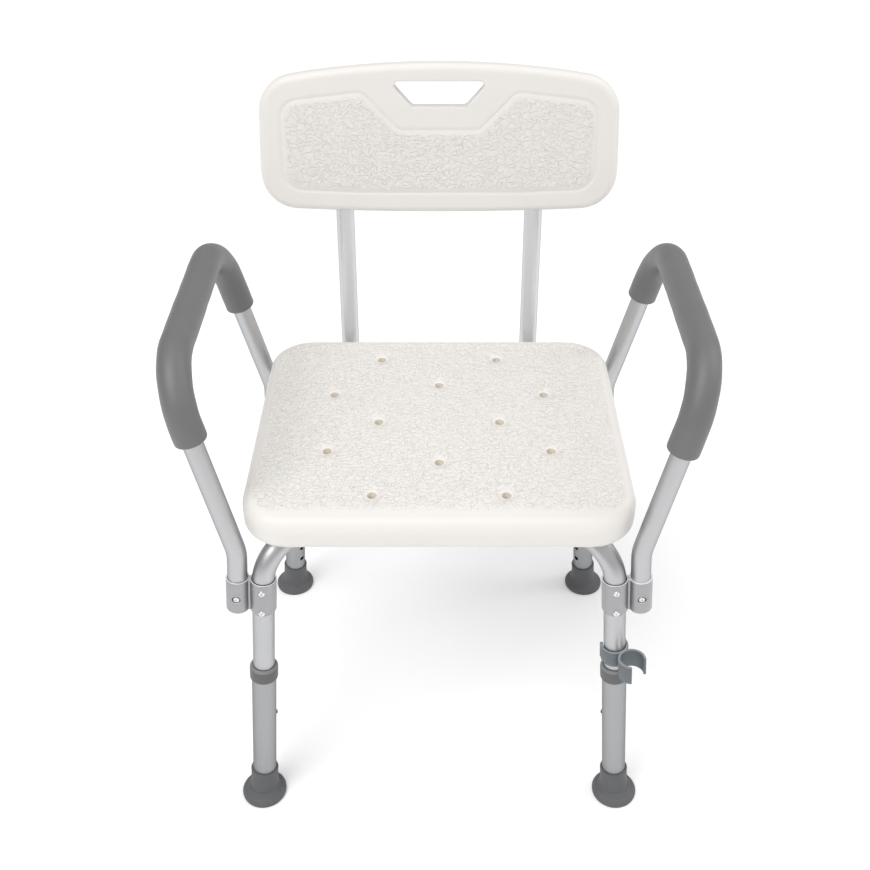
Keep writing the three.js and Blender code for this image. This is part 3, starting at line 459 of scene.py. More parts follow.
# ---- finishes ----
class Finish:
    """Node material in the making, with short calls for the nodes that finishes share."""

    def __init__(self, name, color, roughness, metallic=0.0):
        self.material = bpy.data.materials.new(name)
        self.material.use_nodes = True
        self.nodes = self.material.node_tree.nodes
        self.links = self.material.node_tree.links
        self.shader = self.nodes["Principled BSDF"]
        self.set(Base_Color=(*color, 1), Roughness=roughness, Metallic=metallic)
        self.color = color
        self.height = None
        self.place = self.nodes.new("ShaderNodeTexCoord").outputs["Object"]

    def set(self, **values):
        for key, value in values.items():
            self.shader.inputs[key.replace("_", " ")].default_value = value

    def node(self, kind, **values):
        """New node with some of its inputs set."""
        made = self.nodes.new(f"ShaderNode{kind}")
        for key, value in values.items():
            made.inputs[key.replace("_", " ")].default_value = value
        return made

    def noise(self, scale, detail=4, stretch=(1, 1, 1), distortion=0.0):
        mapping = self.node("Mapping", Scale=stretch)
        self.links.new(self.place, mapping.inputs["Vector"])
        texture = self.node("TexNoise", Scale=scale, Detail=detail, Distortion=distortion)
        self.links.new(mapping.outputs["Vector"], texture.inputs["Vector"])
        return texture.outputs["Fac"]

    def cells(self, scale):
        texture = self.node("TexVoronoi", Scale=scale)
        self.links.new(self.place, texture.inputs["Vector"])
        return texture.outputs["Distance"]

    def remap(self, value, low, high, to_low, to_high, eased=False):
        limits = {"From_Min": low, "From_Max": high, "To_Min": to_low, "To_Max": to_high}
        node = self.node("MapRange", **limits)
        node.interpolation_type = "SMOOTHSTEP" if eased else "LINEAR"
        self.links.new(value, node.inputs["Value"])
        return node.outputs["Result"]

    def calc(self, operation, a, b):
        node = self.node("Math")
        node.operation = operation
        for socket, value in zip(node.inputs, (a, b)):
            if isinstance(value, (int, float)):
                socket.default_value = value
            else:
                self.links.new(value, socket)
        return node.outputs["Value"]

    def attribute(self, name):
        node = self.node("Attribute")
        node.attribute_name = name
        return node.outputs["Fac"]

    def mix(self, share):
        """Mix of two colours, A and B, by a share."""
        mix = self.node("Mix")
        mix.data_type = "RGBA"
        self.links.new(share, mix.inputs["Factor"])
        return mix

    def tint(self, value, darker, lighter):
        """Base colour varied between two strengths of itself."""
        mix = self.mix(value)
        mix.inputs["A"].default_value = (*[c * darker for c in self.color], 1)
        mix.inputs["B"].default_value = (*[min(1, c * lighter) for c in self.color], 1)
        self.links.new(mix.outputs["Result"], self.shader.inputs["Base Color"])

    def blend_in(self, share, color):
        """Second colour laid over the tinted one by a share."""
        mix = self.mix(share)
        mix.inputs["B"].default_value = (*color, 1)
        base = self.shader.inputs["Base Color"]
        self.links.new(base.links[0].from_socket, mix.inputs["A"])
        self.links.new(mix.outputs["Result"], base)

    def rough(self, value, low, high):
        self.links.new(self.remap(value, 0, 1, low, high), self.shader.inputs["Roughness"])

    def bump(self, value, distance):
        """Relief laid over any that is already there."""
        node = self.node("Bump", Distance=distance, Strength=1)
        self.links.new(value, node.inputs["Height"])
        if self.height:
            self.links.new(self.height, node.inputs["Normal"])
        self.height = node.outputs["Normal"]
        self.links.new(self.height, self.shader.inputs["Normal"])


FINISHES = {}


def finish(name, build):
    """Each finish is made once and shared."""
    if name not in FINISHES:
        FINISHES[name] = build(name).material
    return FINISHES[name]


def white_plastic(name):
    look = bpy.context.scene.chair_finish
    f = Finish(name, look.plastic_color, 0.42)
    f.set(Specular_IOR_Level=0.42)
    f.tint(f.noise(14, 3), 0.98, 1.015)
    # Painted light: the drain-hole walls are painted warmer and paler, standing for light shining
    # through the plastic.
    f.blend_in(f.attribute("painted_hole_light"), look.painted_hole_light_color)
    f.rough(f.noise(220, 3), 0.36, 0.5)
    grain = f.attribute("grain")
    ridges = f.noise(look.grain_scale, 1, (1, 1, 1), 0.5)
    folds = f.calc("ABSOLUTE", f.calc("SUBTRACT", ridges, 0.5), 0)
    wrinkle = f.remap(folds, 0.0, 0.14, 1.0, 0.0, True)
    finer = f.noise(look.grain_scale * 1.7, 1, (1, 1, 1), 0.4)
    relief = f.calc("MULTIPLY", f.calc("ADD", wrinkle, finer), grain)
    f.bump(relief, look.grain_depth)
    f.bump(f.noise(900, 2), 0.00005)
    return f


def satin_tube(name, color, roughness):
    f = Finish(name, color, roughness, 1.0)
    f.set(Specular_Tint=(0.35, 0.36, 0.38, 1))
    f.tint(f.noise(9, 3), 0.97, 1.02)
    f.rough(f.noise(260, 5), roughness - 0.05, roughness + 0.07)
    f.bump(f.noise(1400, 3), 0.00002)
    return f


def tube_metal(name):
    return satin_tube(name, bpy.context.scene.chair_finish.tube_color, 0.42)


# Painted light: the same satin metal as the tubes, painted lighter for the back posts to stand for
# the light they catch.
def post_metal_painted_light(name):
    return satin_tube(name, bpy.context.scene.chair_finish.post_painted_light_color, 0.4)


def leg_metal(name):
    return satin_tube(name, bpy.context.scene.chair_finish.leg_color, 0.44)


def clamp_metal(name):
    f = Finish(name, bpy.context.scene.chair_finish.clamp_color, 0.4, 1.0)
    f.tint(f.noise(40, 4), 0.94, 1.04)
    f.rough(f.noise(400, 4), 0.34, 0.5)
    f.bump(f.noise(500, 3, (0.15, 0.15, 4)), 0.00003)
    return f


# Paler bare-metal finish for the clamp tops; its paleness is partly a painted highlight for light
# from above.
def bare_metal_and_top_highlight(name):
    f = Finish(name, (0.86, 0.86, 0.86), 0.5, 0.4)
    f.tint(f.noise(300, 3), 0.93, 1.03)
    f.rough(f.noise(500, 3), 0.42, 0.6)
    f.bump(f.noise(900, 3), 0.00003)
    return f


def bright_metal(name):
    f = Finish(name, (0.8, 0.79, 0.77), 0.22, 1.0)
    f.rough(f.noise(600, 3), 0.16, 0.3)
    f.tint(f.noise(80, 2), 0.95, 1.02)
    return f


def grey_foam(name):
    look = bpy.context.scene.chair_finish
    f = Finish(name, look.foam_color, 0.45)
    f.set(Specular_IOR_Level=0.6)
    f.tint(f.noise(24, 4), 0.95, 1.06)
    f.rough(f.noise(300, 4), 0.36, 0.52)
    f.bump(f.noise(40, 2), 0.0002)
    f.bump(f.cells(1500), 0.00008)
    return f


def grey_rubber(name):
    f = Finish(name, bpy.context.scene.chair_finish.rubber_color, 0.6)
    f.set(Specular_IOR_Level=0.35)
    f.tint(f.noise(60, 4), 0.9, 1.1)
    f.rough(f.noise(300, 4), 0.5, 0.7)
    f.bump(f.noise(1100, 3), 0.00006)
    return f


def grey_plastic(name):
    f = Finish(name, bpy.context.scene.chair_finish.clip_color, 0.45)
    f.set(Specular_IOR_Level=0.45)
    f.tint(f.noise(50, 3), 0.93, 1.07)
    # Painted highlight: faces that look up the leg axis are painted paler, as if lit from above.
    f.blend_in(f.attribute("painted_top_highlight"), [0.08 + 1.35 * c for c in f.color])
    f.rough(f.noise(350, 3), 0.4, 0.54)
    f.bump(f.noise(1300, 2), 0.00005)
    return f


def collar_plastic(name):
    f = Finish(name, bpy.context.scene.chair_finish.collar_color, 0.5)
    f.tint(f.noise(60, 3), 0.93, 1.07)
    # Painted highlight: faces that look up the leg axis are painted paler, as if lit from above.
    f.blend_in(f.attribute("painted_top_highlight"), [0.06 + 1.3 * c for c in f.color])
    f.rough(f.noise(350, 3), 0.44, 0.6)
    f.bump(f.noise(120, 2, (0.2, 0.2, 9)), 0.00012)
    return f


def floor_paint(name):
    f = Finish(name, bpy.context.scene.chair_stage.floor_color, 0.85)
    f.set(Specular_IOR_Level=0.1, Emission_Color=(1, 1, 1, 1), Emission_Strength=0.11)
    f.tint(f.noise(0.8, 2), 0.995, 1.0)
    return f


PLAIN_FINISHES = (
    white_plastic,
    tube_metal,
    leg_metal,
    clamp_metal,
    bright_metal,
    grey_foam,
    grey_rubber,
    grey_plastic,
)
BUILDERS = {build.__name__: build for build in PLAIN_FINISHES}


def add_piece(node, mesh, body, slot, build=None):
    """A detailed piece that rides on its body and stands for the CAD node of its name."""
    piece = loose(f"{node}_fine", mesh)
    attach(piece, body)
    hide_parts(node)
    name = build.__name__ if build else slot
    piece.data.materials.append(finish(name, build or BUILDERS[slot]))
    return piece


def keep_node(node, slot):
    """A CAD node that already has its shape gets its finish."""
    piece = frame["nodes"][node]
    piece.data.materials.clear()
    piece.data.materials.append(finish(slot, BUILDERS[slot]))


# ---- seat ----
def drain_places():
    found = []
    for x, y in DRAIN_PLACES:
        for sx in (-1, 1) if x else (1,):
            for sy in (-1, 1) if y else (1,):
                found.append(Vector((sx * x * MM, sy * y * MM + CENTRE.y)))
    return found


def seat_outline():
    x, y, r = SEAT_HIGH.x, (SEAT_HIGH.y - SEAT_LOW.y) / 2, SEAT_CORNER_R
    corners = [(-x, -y, r), (x, -y, r), (x, y, r), (-x, y, r)]
    return [Vector((p.x, p.y + CENTRE.y)) for p in fillet(corners, True, 14)]


def screw_places():
    return [CENTRE - inboard(leg) * SEAT_SCREW_REACH for leg in LEG_NAMES]


def make_seat(sizes):
    top = SEAT_HIGH.z
    bottom = top - SEAT_THICKNESS
    profile = edged(bottom, top, 8 * MM, SEAT_EDGE_R, 6)
    seat = add_piece("seat", plate("seat_skin", seat_outline(), profile), "frame", "white_plastic")
    boss_low = CROSS_LEVEL + FRAME_TUBE_R + 0.3 * MM
    tall = bottom + MM - boss_low
    bosses = [rod(BOSS_R, Vector((p.x, p.y, boss_low)), UP, tall) for p in screw_places()]
    combine(seat, bosses, "UNION")
    combine(seat, [rod(BOLT_POCKET_R, Vector((0, CENTRE.y, bottom - MM)), UP, 9 * MM)])
    reskin(seat, sizes.moulding_step, 3)
    co = places(seat.data)
    x, y, z = co.T
    edge = -outline_distance(seat_outline(), x, y)
    roll = np.clip((SEAT_LOW.y + sizes.front_roll - y) / sizes.front_roll, 0, 1)
    upper = smoothstep(bottom + 12 * MM, top - 4 * MM, z)
    z = z - sizes.front_drop * (1 - np.sqrt(1 - 0.98 * roll * roll)) * upper
    for p in drain_places():
        away = np.hypot(x - p.x, y - p.y)
        dent = 1 - smoothstep(DRAIN_R - 2 * MM, sizes.dent_reach, away)
        z -= sizes.dent_depth * dent * upper
    z -= 0.8 * MM * smoothstep(8 * MM, 20 * MM, edge) * upper
    co[:, 2] = z
    put_places(seat.data, co)
    through = SEAT_THICKNESS + 4 * MM
    drains = [
        rod(DRAIN_R, Vector((p.x, p.y, bottom - MM)), UP, through, 40) for p in drain_places()
    ]
    combine(seat, [gather(drains)])

    x, y, z = places(seat.data).T
    edge = -outline_distance(seat_outline(), x, y)
    upper = smoothstep(bottom + 12 * MM, top - 4 * MM, z + 2 * MM)
    front = smoothstep(SEAT_LOW.y + 14 * MM, SEAT_LOW.y + 30 * MM, y)
    away = np.min([np.hypot(x - p.x, y - p.y) for p in drain_places()], axis=0)
    flat = smoothstep(DRAIN_R, DRAIN_R + 5 * MM, away)
    mark(seat.data, "grain", smoothstep(9 * MM, 15 * MM, edge) * front * upper * flat)
    # Marks the drain-hole walls, which the finish paints warmer and paler as painted light coming
    # through them.
    mark(seat.data, "painted_hole_light", (away < DRAIN_R + 0.1 * MM) * 1.0)
    shade(seat, 50)


# ---- backrest ----
def slope_matrix():
    """The panel's own frame: +X right, +Y up the slope, +Z ahead of the posts."""
    up = Vector((0, math.sin(RECLINE), math.cos(RECLINE)))
    ahead = Vector((0, -math.cos(RECLINE), math.sin(RECLINE)))
    turn = Matrix((Vector((1, 0, 0)), up, ahead)).transposed().to_4x4()
    return Matrix.Translation((0, POST_AXIS_Y, SEAT_HIGH.z)) @ turn


def back_outline():
    half_top, half_bottom, half_waist = 213.5 * MM, 217 * MM, 217.9 * MM
    top, bottom, waist = 340.5 * MM, 162 * MM, 222 * MM
    rise, fall = 6 * MM, 20 * MM
    shares = [k / 7 for k in range(-5, 6)]
    corners = [(-half_bottom, bottom + rise, 44 * MM)]
    corners += [(k * half_bottom, bottom + rise * k * k, 0) for k in shares]
    corners += [(half_bottom, bottom + rise, 44 * MM), (half_waist, waist, 0)]
    corners += [(half_top, top - fall, 45 * MM)]
    corners += [(-k * half_top, top - fall * k * k, 0) for k in shares]
    corners += [(-half_top, top - fall, 45 * MM), (-half_waist, waist, 0)]
    return fillet(corners, True, 10)


def slot_outline():
    corners = [(-32, 290), (32, 290), (59.5, 320), (-59.5, 320)]
    return fillet([(x * MM, y * MM, 5 * MM) for x, y in corners], True, 6)


def groove_outline():
    """Line of the pressed groove: a panel that dips under the handle slot."""
    corners = [
        (-190, 192, 25),
        (-95, 188, 0),
        (95, 188, 0),
        (190, 192, 25),
        (189, 297, 23),
        (92, 308, 14),
        (48, 264, 10),
        (-48, 264, 10),
        (-92, 308, 14),
        (-189, 297, 23),
    ]
    return fillet([(x * MM, y * MM, r * MM) for x, y, r in corners], True, 8)


def make_backrest(sizes):
    profile = edged(BACK_REAR, BACK_FRONT, 5 * MM, BACK_EDGE_R, 5)
    panel = plate("back_skin", back_outline(), profile)
    back = add_piece("backrest", panel, "frame", "white_plastic")
    sockets = []
    along = Vector((0, 1, 0))
    for s in (-1, 1):
        start = Vector((s * POST_SPREAD, SOCKET_BOTTOM, 0))
        sockets.append(rod(SOCKET_R, start, along, SOCKET_TOP - SOCKET_BOTTOM, 40))
    combine(back, sockets, "UNION")
    slot = plate("slot", slot_outline(), [(0, -20 * MM), (0, 20 * MM)])
    cutters = [loose("slot", slot)]
    below = SOCKET_BOTTOM - 20 * MM
    for s in (-1, 1):
        start = Vector((s * POST_SPREAD, below, 0))
        cutters.append(rod(SOCKET_BORE, start, along, SOCKET_TOP - below - 3 * MM, 40))
    combine(back, cutters)
    reskin(back, sizes.moulding_step * 0.75, 2)
    co = places(back.data)
    x, y, z = co.T
    ahead = smoothstep(BACK_FRONT - 4 * MM, BACK_FRONT - 1 * MM, z)
    line = outline_distance(groove_outline(), x, y)
    z -= sizes.groove_depth * np.exp(-((line / (1.6 * MM)) ** 2)) * ahead
    co[:, 2] = z
    put_places(back.data, co)
    mark(back.data, "grain", smoothstep(-3 * MM, -7 * MM, line) * ahead)
    back.data.transform(slope_matrix())
    shade(back, 60)
    for side, s in SIDES_OF.items():
        head = Vector((s * POST_SPREAD, BACK_SCREW_LEVEL, -SOCKET_R - 0.3 * MM))
        at = slope_matrix() @ head
        ahead_way = slope_matrix().to_3x3() @ UP
        add_screw(f"backrest_screw_{side}", at, ahead_way, 16 * MM, 2 * MM, "frame")


# ---- screws ----
def cut_cross(piece, place, length):
    """Cuts a cross recess centred on a place, square to its Z."""
    cross = []
    for turn in (0, math.pi / 2):
        bar = bmesh.new()
        bmesh.ops.create_cube(bar, size=1)
        bmesh.ops.scale(bar, vec=(length, MM, 2.4 * MM), verts=bar.verts)
        mesh = mesh_of("cross", bar)
        mesh.transform(place @ Matrix.Rotation(turn, 4, "Z"))
        cross.append(loose("cross", mesh))
    combine(piece, cross)


def add_screw(node, at, way, length, radius, body):
    """A domed cross-head screw: its head seats at a place, its shank runs along a direction."""
    head = [
        (0, -3 * MM, 0),
        (3.2 * MM, -2.9 * MM, 1.2 * MM),
        (5 * MM, -1.2 * MM, 0.8 * MM),
        (5 * MM, 0, 0.2 * MM),
        (radius, 0, 0),
        (radius, length - radius, 0.2 * MM),
        (0, length, 0),
    ]
    piece = add_piece(node, turned(node, head, 32, aim(at, way)), body, "bright_metal")
    cut_cross(piece, aim(at, way) @ Matrix.Translation((0, 0, -3 * MM)), 4.4 * MM)
    shade(piece)


# ---- crossed frame tubes ----
def cross_tube_corners(first, ducks):
    out = -inboard(first)

    def at(way, distance, level):
        place = CENTRE + way * distance
        place.z = level
        return place

    knee = DIAGONAL - CROSS_LEVEL * math.tan(SPLAY)
    low = CROSS_LEVEL - 2 * FRAME_TUBE_R - CROSSING_GAP
    tail = DIAGONAL - FRAME_TUBE_END * math.sin(SPLAY)

    def half(way):
        corners = [(at(way, tail, FRAME_TUBE_END * math.cos(SPLAY)), 0)]
        corners.append((at(way, knee, CROSS_LEVEL), FRAME_BEND_R))
        if ducks:
            corners.append((at(way, DIP_HALF + DIP_RAMP, CROSS_LEVEL), DIP_BEND_R))
            corners.append((at(way, DIP_HALF, low), DIP_BEND_R))
        return corners

    return half(out) + half(-out)[::-1]


def make_cross_tubes():
    for node, first, ducks in (
        ("cross_tube_upper", "front_left", False),
        ("cross_tube_lower", "front_right", True),
    ):
        mesh = tube(node, cross_tube_corners(first, ducks), FRAME_TUBE_R, FRAME_WALL)
        shade(add_piece(node, mesh, "frame", "tube_metal"))
    low = CROSS_LEVEL - 3 * FRAME_TUBE_R - CROSSING_GAP - 0.3 * MM
    top = CROSS_LEVEL + FRAME_TUBE_R + 0.3 * MM
    middle = Vector((0, CENTRE.y, 0))
    profile = [
        (0, low - 3.5 * MM, 0),
        (5 * MM, low - 3.4 * MM, MM),
        (6.5 * MM, low - 1.4 * MM, 0.8 * MM),
        (6.5 * MM, low, 0),
        (3 * MM, low, 0),
        (3 * MM, top + 5.6 * MM, 0.4 * MM),
        (0, top + 6 * MM, 0),
    ]
    bolt = turned("crossing_bolt", profile, 32, Matrix.Translation(middle))
    shade(add_piece("crossing_bolt", bolt, "frame", "bright_metal"))
    keep_node("crossing_nut", "bright_metal")
    head = CROSS_LEVEL - FRAME_TUBE_R - 0.3 * MM
    for leg, place in zip(LEG_NAMES, screw_places()):
        at = Vector((place.x, place.y, head))
        add_screw(f"seat_screw_{leg}", at, UP, 50 * MM, SCREW_R, "frame")


# ---- legs ----
def paint_top_highlight(piece, axis):
    """Marks the faces that look up the axis for a painted highlight: the finish paints them paler,
    as if lit from above.
    """
    lit_tops = np.zeros(len(piece.data.vertices))
    for face in piece.data.polygons:
        if face.normal.dot(axis) > 0.5:
            lit_tops[list(face.vertices)] = 1
    mark(piece.data, "painted_top_highlight", lit_tops)


def make_leg(leg):
    matrix = leg_matrix(leg)
    body = f"leg_{leg}"
    walls = [
        (LEG_BORE, LEG_BOTTOM, 0.2 * MM),
        (LEG_R, LEG_BOTTOM, 0.4 * MM),
        (LEG_R, LEG_TOP, 0.4 * MM),
        (LEG_BORE, LEG_TOP, 0.2 * MM),
    ]
    piece = add_piece(f"leg_tube_{leg}", turned("leg", walls, 48, matrix), body, "leg_metal")
    way = matrix.to_3x3() @ inboard(leg)
    holes = [
        rod(HOLE_R, matrix @ Vector((0, 0, HOLE_FIRST + k * HOLE_PITCH)), way, 2 * LEG_R, 28)
        for k in range(HOLE_COUNT)
    ]
    combine(piece, holes)
    shade(piece)

    collar = [
        (LEG_R + 0.2 * MM, COLLAR_BOTTOM, 0.2 * MM),
        (COLLAR_R, COLLAR_BOTTOM, 0.6 * MM),
        (COLLAR_R, COLLAR_TOP - 3 * MM, 1.5 * MM),
        (COLLAR_R - 2.4 * MM, COLLAR_TOP, 0.6 * MM),
        (FRAME_TUBE_R + 0.3 * MM, COLLAR_TOP, 0.3 * MM),
        (FRAME_TUBE_R + 0.3 * MM, COLLAR_TOP - 2.2 * MM, 0),
        (LEG_R + 0.2 * MM, COLLAR_TOP - 2.2 * MM, 0),
    ]
    mesh = turned("collar", collar, 48, matrix)
    piece = add_piece(f"leg_collar_{leg}", mesh, body, "grey_plastic", collar_plastic)
    # Painted highlight on the collar's upper faces.
    paint_top_highlight(piece, leg_axis(leg))
    shade(piece)
    make_foot(leg, body)


def make_foot(leg, body):
    """A wide rubber ferrule that stands flat on the floor while its cup leans with the leg."""
    flange = [
        (0, 0, 0),
        (FOOT_R - 0.6 * MM, 0, 1.2 * MM),
        (FOOT_R, 5 * MM, 3.2 * MM),
        (FOOT_R - 3.2 * MM, 8.6 * MM, 2.2 * MM),
        (21.5 * MM, 9.8 * MM, 4 * MM),
        (18 * MM, 15 * MM, 2 * MM),
        (0, 15.2 * MM, 0),
    ]
    place = Matrix.Translation(FEET[leg])
    piece = add_piece(f"foot_{leg}", turned("foot", flange, 64, place), body, "grey_rubber")
    cup = [
        (0, 8 * MM, 0),
        (18.6 * MM, 8 * MM, 0),
        (17 * MM, 24 * MM, 8 * MM),
        (FOOT_CUP_R, 41 * MM, 2 * MM),
        (FOOT_CUP_R + 0.4 * MM, FOOT_CUP_TOP - 2 * MM, 1 * MM),
        (FOOT_CUP_R - 0.4 * MM, FOOT_CUP_TOP, 0.8 * MM),
        (0, FOOT_CUP_TOP, 0),
    ]
    matrix = leg_matrix(leg)
    combine(piece, [loose("cup", turned("cup", cup, 64, matrix))], "UNION")
    bore = rod(LEG_R + 0.1 * MM, matrix @ Vector((0, 0, 10 * MM)), leg_axis(leg), 60 * MM, 48)
    combine(piece, [bore])
    shade(piece, 40)


def make_button(leg):
    matrix = leg_matrix(leg)
    way = matrix.to_3x3() @ inboard(leg)
    at = matrix @ Vector((0, 0, BUTTON_HEIGHT))
    profile = [
        (0, 8.7 * MM, 0),
        (4.2 * MM, 8.7 * MM, 0.2 * MM),
        (4.2 * MM, 10.1 * MM, 0.2 * MM),
        (3.1 * MM, 10.1 * MM, 0),
        (3.1 * MM, 17.6 * MM, 1.6 * MM),
        (0, 18.7 * MM, 0),
    ]
    mesh = turned("button", profile, 32, aim(at, way))
    shade(add_piece(f"leg_button_{leg}", mesh, f"button_{leg}", "grey_plastic"))
    keep_node(f"button_spring_{leg}", "bright_metal")


# ---- clamps ----
def brighten_tops_bare_and_lit(piece, axis):
    """The faces that look up the leg axis get a paler, less metallic finish: bare metal at the cut
    end, and a painted highlight for the light falling on top.
    """
    piece.data.materials.append(finish("bare_metal_and_top_highlight", bare_metal_and_top_highlight))
    for face in piece.data.polygons:
        if face.normal.dot(axis) > 0.6:
            face.material_index = 1


def make_clamp(leg):
    matrix = leg_matrix(leg)
    side = out_x(leg) * CLAMP_PITCH
    face = matrix.to_3x3() @ Vector((0, out_y(leg), 0))
    leg_barrel = [
        (CLAMP_BORE, CLAMP_BOTTOM, 0.2 * MM),
        (CLAMP_R - 0.8 * MM, CLAMP_BOTTOM, 0.4 * MM),
        (CLAMP_R, CLAMP_BOTTOM + 2.4 * MM, 1 * MM),
        (CLAMP_R, CLAMP_TOP, 0.5 * MM),
        (CLAMP_BORE, CLAMP_TOP, 0.3 * MM),
    ]
    mesh = turned("clamp", leg_barrel, 56, matrix)
    piece = add_piece(f"arm_clamp_{leg}", mesh, "frame", "clamp_metal")
    arm_barrel = [
        (0, CLAMP_BOTTOM, 0),
        (CLAMP_ARM_R, CLAMP_BOTTOM, 2.6 * MM),
        (CLAMP_ARM_R, CLAMP_TOP, 0.5 * MM),
        (0, CLAMP_TOP, 0),
    ]
    beside = matrix @ Matrix.Translation((side, 0, 0))
    left, right, half = min(0, side) + 3 * MM, max(0, side) - 3 * MM, CLAMP_WEB / 2
    corners = [(left, -half), (right, -half), (right, half), (left, half)]
    web = [Vector(corner) for corner in corners]
    levels = [(0, CLAMP_BOTTOM + 1.5 * MM), (0, CLAMP_TOP - 0.6 * MM)]
    joined = [
        loose("barrel", turned("barrel", arm_barrel, 56, beside, 8)),
        loose("web", plate("web", web, levels, matrix)),
    ]
    combine(piece, joined, "UNION")
    opening = matrix @ Vector((side, 0, ARM_SCREW_LEVEL))
    leg_end = matrix @ Vector((0, 0, CLAMP_BOTTOM - MM))
    arm_end = beside @ Vector((0, 0, CLAMP_BOTTOM + 1.6 * MM))
    cutters = [
        rod(CLAMP_BORE, leg_end, leg_axis(leg), 50 * MM, 56),
        rod(CLAMP_ARM_BORE, arm_end, leg_axis(leg), 50 * MM, 56),
        rod(4.9 * MM, opening, face, 20 * MM, 32),
    ]
    combine(piece, cutters)
    shade(piece, 32)
    # Bare metal and painted highlight on the clamp tops.
    brighten_tops_bare_and_lit(piece, leg_axis(leg))

    for level, height in RIVET_LEVELS.items():
        profile = [
            (0, 9 * MM, 0),
            (1.9 * MM, 9 * MM, 0),
            (1.9 * MM, CLAMP_R - 0.3 * MM, 0),
            (3.8 * MM, CLAMP_R - 0.2 * MM, 0.1 * MM),
            (3.3 * MM, CLAMP_R + 1.3 * MM, 1 * MM),
            (1.3 * MM, CLAMP_R + 1.9 * MM, 0.2 * MM),
            (1.1 * MM, CLAMP_R + 0.7 * MM, 0.2 * MM),
            (0, CLAMP_R + 0.7 * MM, 0),
        ]
        at = matrix @ Vector((0, 0, height))
        mesh = turned("rivet", profile, 32, aim(at, face))
        shade(add_piece(f"clamp_rivet_{level}_{leg}", mesh, "frame", "bright_metal"))

    at = opening + face * (CLAMP_ARM_R - 0.9 * MM)
    head = [
        (0, -8.5 * MM, 0),
        (2 * MM, -8.5 * MM, 0),
        (2 * MM, -1.2 * MM, 0),
        (3.7 * MM, -1.2 * MM, 0.2 * MM),
        (3.2 * MM, 0.1 * MM, 0.8 * MM),
        (0, 0.7 * MM, 0),
    ]
    mesh = turned("screw", head, 32, aim(at, face))
    piece = add_piece(f"arm_screw_{leg}", mesh, "frame", "bright_metal")
    cut_cross(piece, aim(at, face) @ Matrix.Translation((0, 0, 0.8 * MM)), 3.4 * MM)
    shade(piece)


# ---- arms ----
def arm_corners(side):
    s = SIDES_OF[side]

    def half(leg):
        matrix = leg_matrix(leg)
        low = matrix @ Vector((s * CLAMP_PITCH, 0, ARM_END))
        elbow = matrix @ Vector((s * CLAMP_PITCH, 0, ARM_ELBOW))
        corner = Vector((s * ARM_SPREAD, CENTRE.y + out_y(leg) * ARM_HALF_LENGTH, ARM_LEVEL))
        return [(low, 0), (elbow, ARM_ELBOW_R), (corner, ARM_CORNER_R)]

    return half(f"front_{side}") + half(f"rear_{side}")[::-1]


def make_arm(side):
    mesh = tube("arm", arm_corners(side), ARM_TUBE_R, ARM_WALL)
    shade(add_piece(f"arm_tube_{side}", mesh, "frame", "tube_metal"))


def make_pad(side, swell):
    corners = arm_corners(side)

    def at_level(low, high, level):
        return low.lerp(high, (level - low.z) / (high.z - low.z))

    front = at_level(corners[1][0], corners[2][0], PAD_END - PAD_SLIP[side])
    rear = at_level(corners[4][0], corners[3][0], PAD_END + PAD_SLIP[side])
    line = stations([(front, 0), corners[2], corners[3], (rear, 0)], math.radians(4))
    dense = []
    for (a, way_a), (b, way_b) in zip(line, line[1:]):
        count = max(1, math.ceil((b - a).length / (6 * MM)))
        for k in range(count):
            dense.append((a.lerp(b, k / count), way_a.lerp(way_b, k / count).normalized()))
    dense.append(line[-1])
    framed = frames_along(dense)
    inner = ARM_TUBE_R + 0.2 * MM
    rounding = 3.2 * MM
    ends = []
    for k in range(6):
        a = math.pi / 2 * k / 5
        ends.append((PAD_R - rounding * (1 - math.sin(a)), rounding * (1 - math.cos(a))))
    rings = [ring_at(framed[0], r, shift, 48) for r, shift in ends]
    for i, station in enumerate(framed[1:-1], 1):
        wave = math.sin(i * 0.9) * 0.5 + math.sin(i * 0.37 + 1.3) * 0.5
        rings.append(ring_at(station, PAD_R + swell * (wave - 0.6), 0, 48))
    rings += [ring_at(framed[-1], r, -shift, 48) for r, shift in reversed(ends)]
    rings.append(ring_at(framed[-1], inner, 0, 48))
    rings += [ring_at(framed[i], inner, 0, 48) for i in range(len(framed) - 2, 0, -4)]
    rings.append(ring_at(framed[0], inner, 0, 48))
    piece = add_piece(f"arm_pad_{side}", skin("pad", rings, True), "frame", "grey_foam")
    shade(piece, 50)


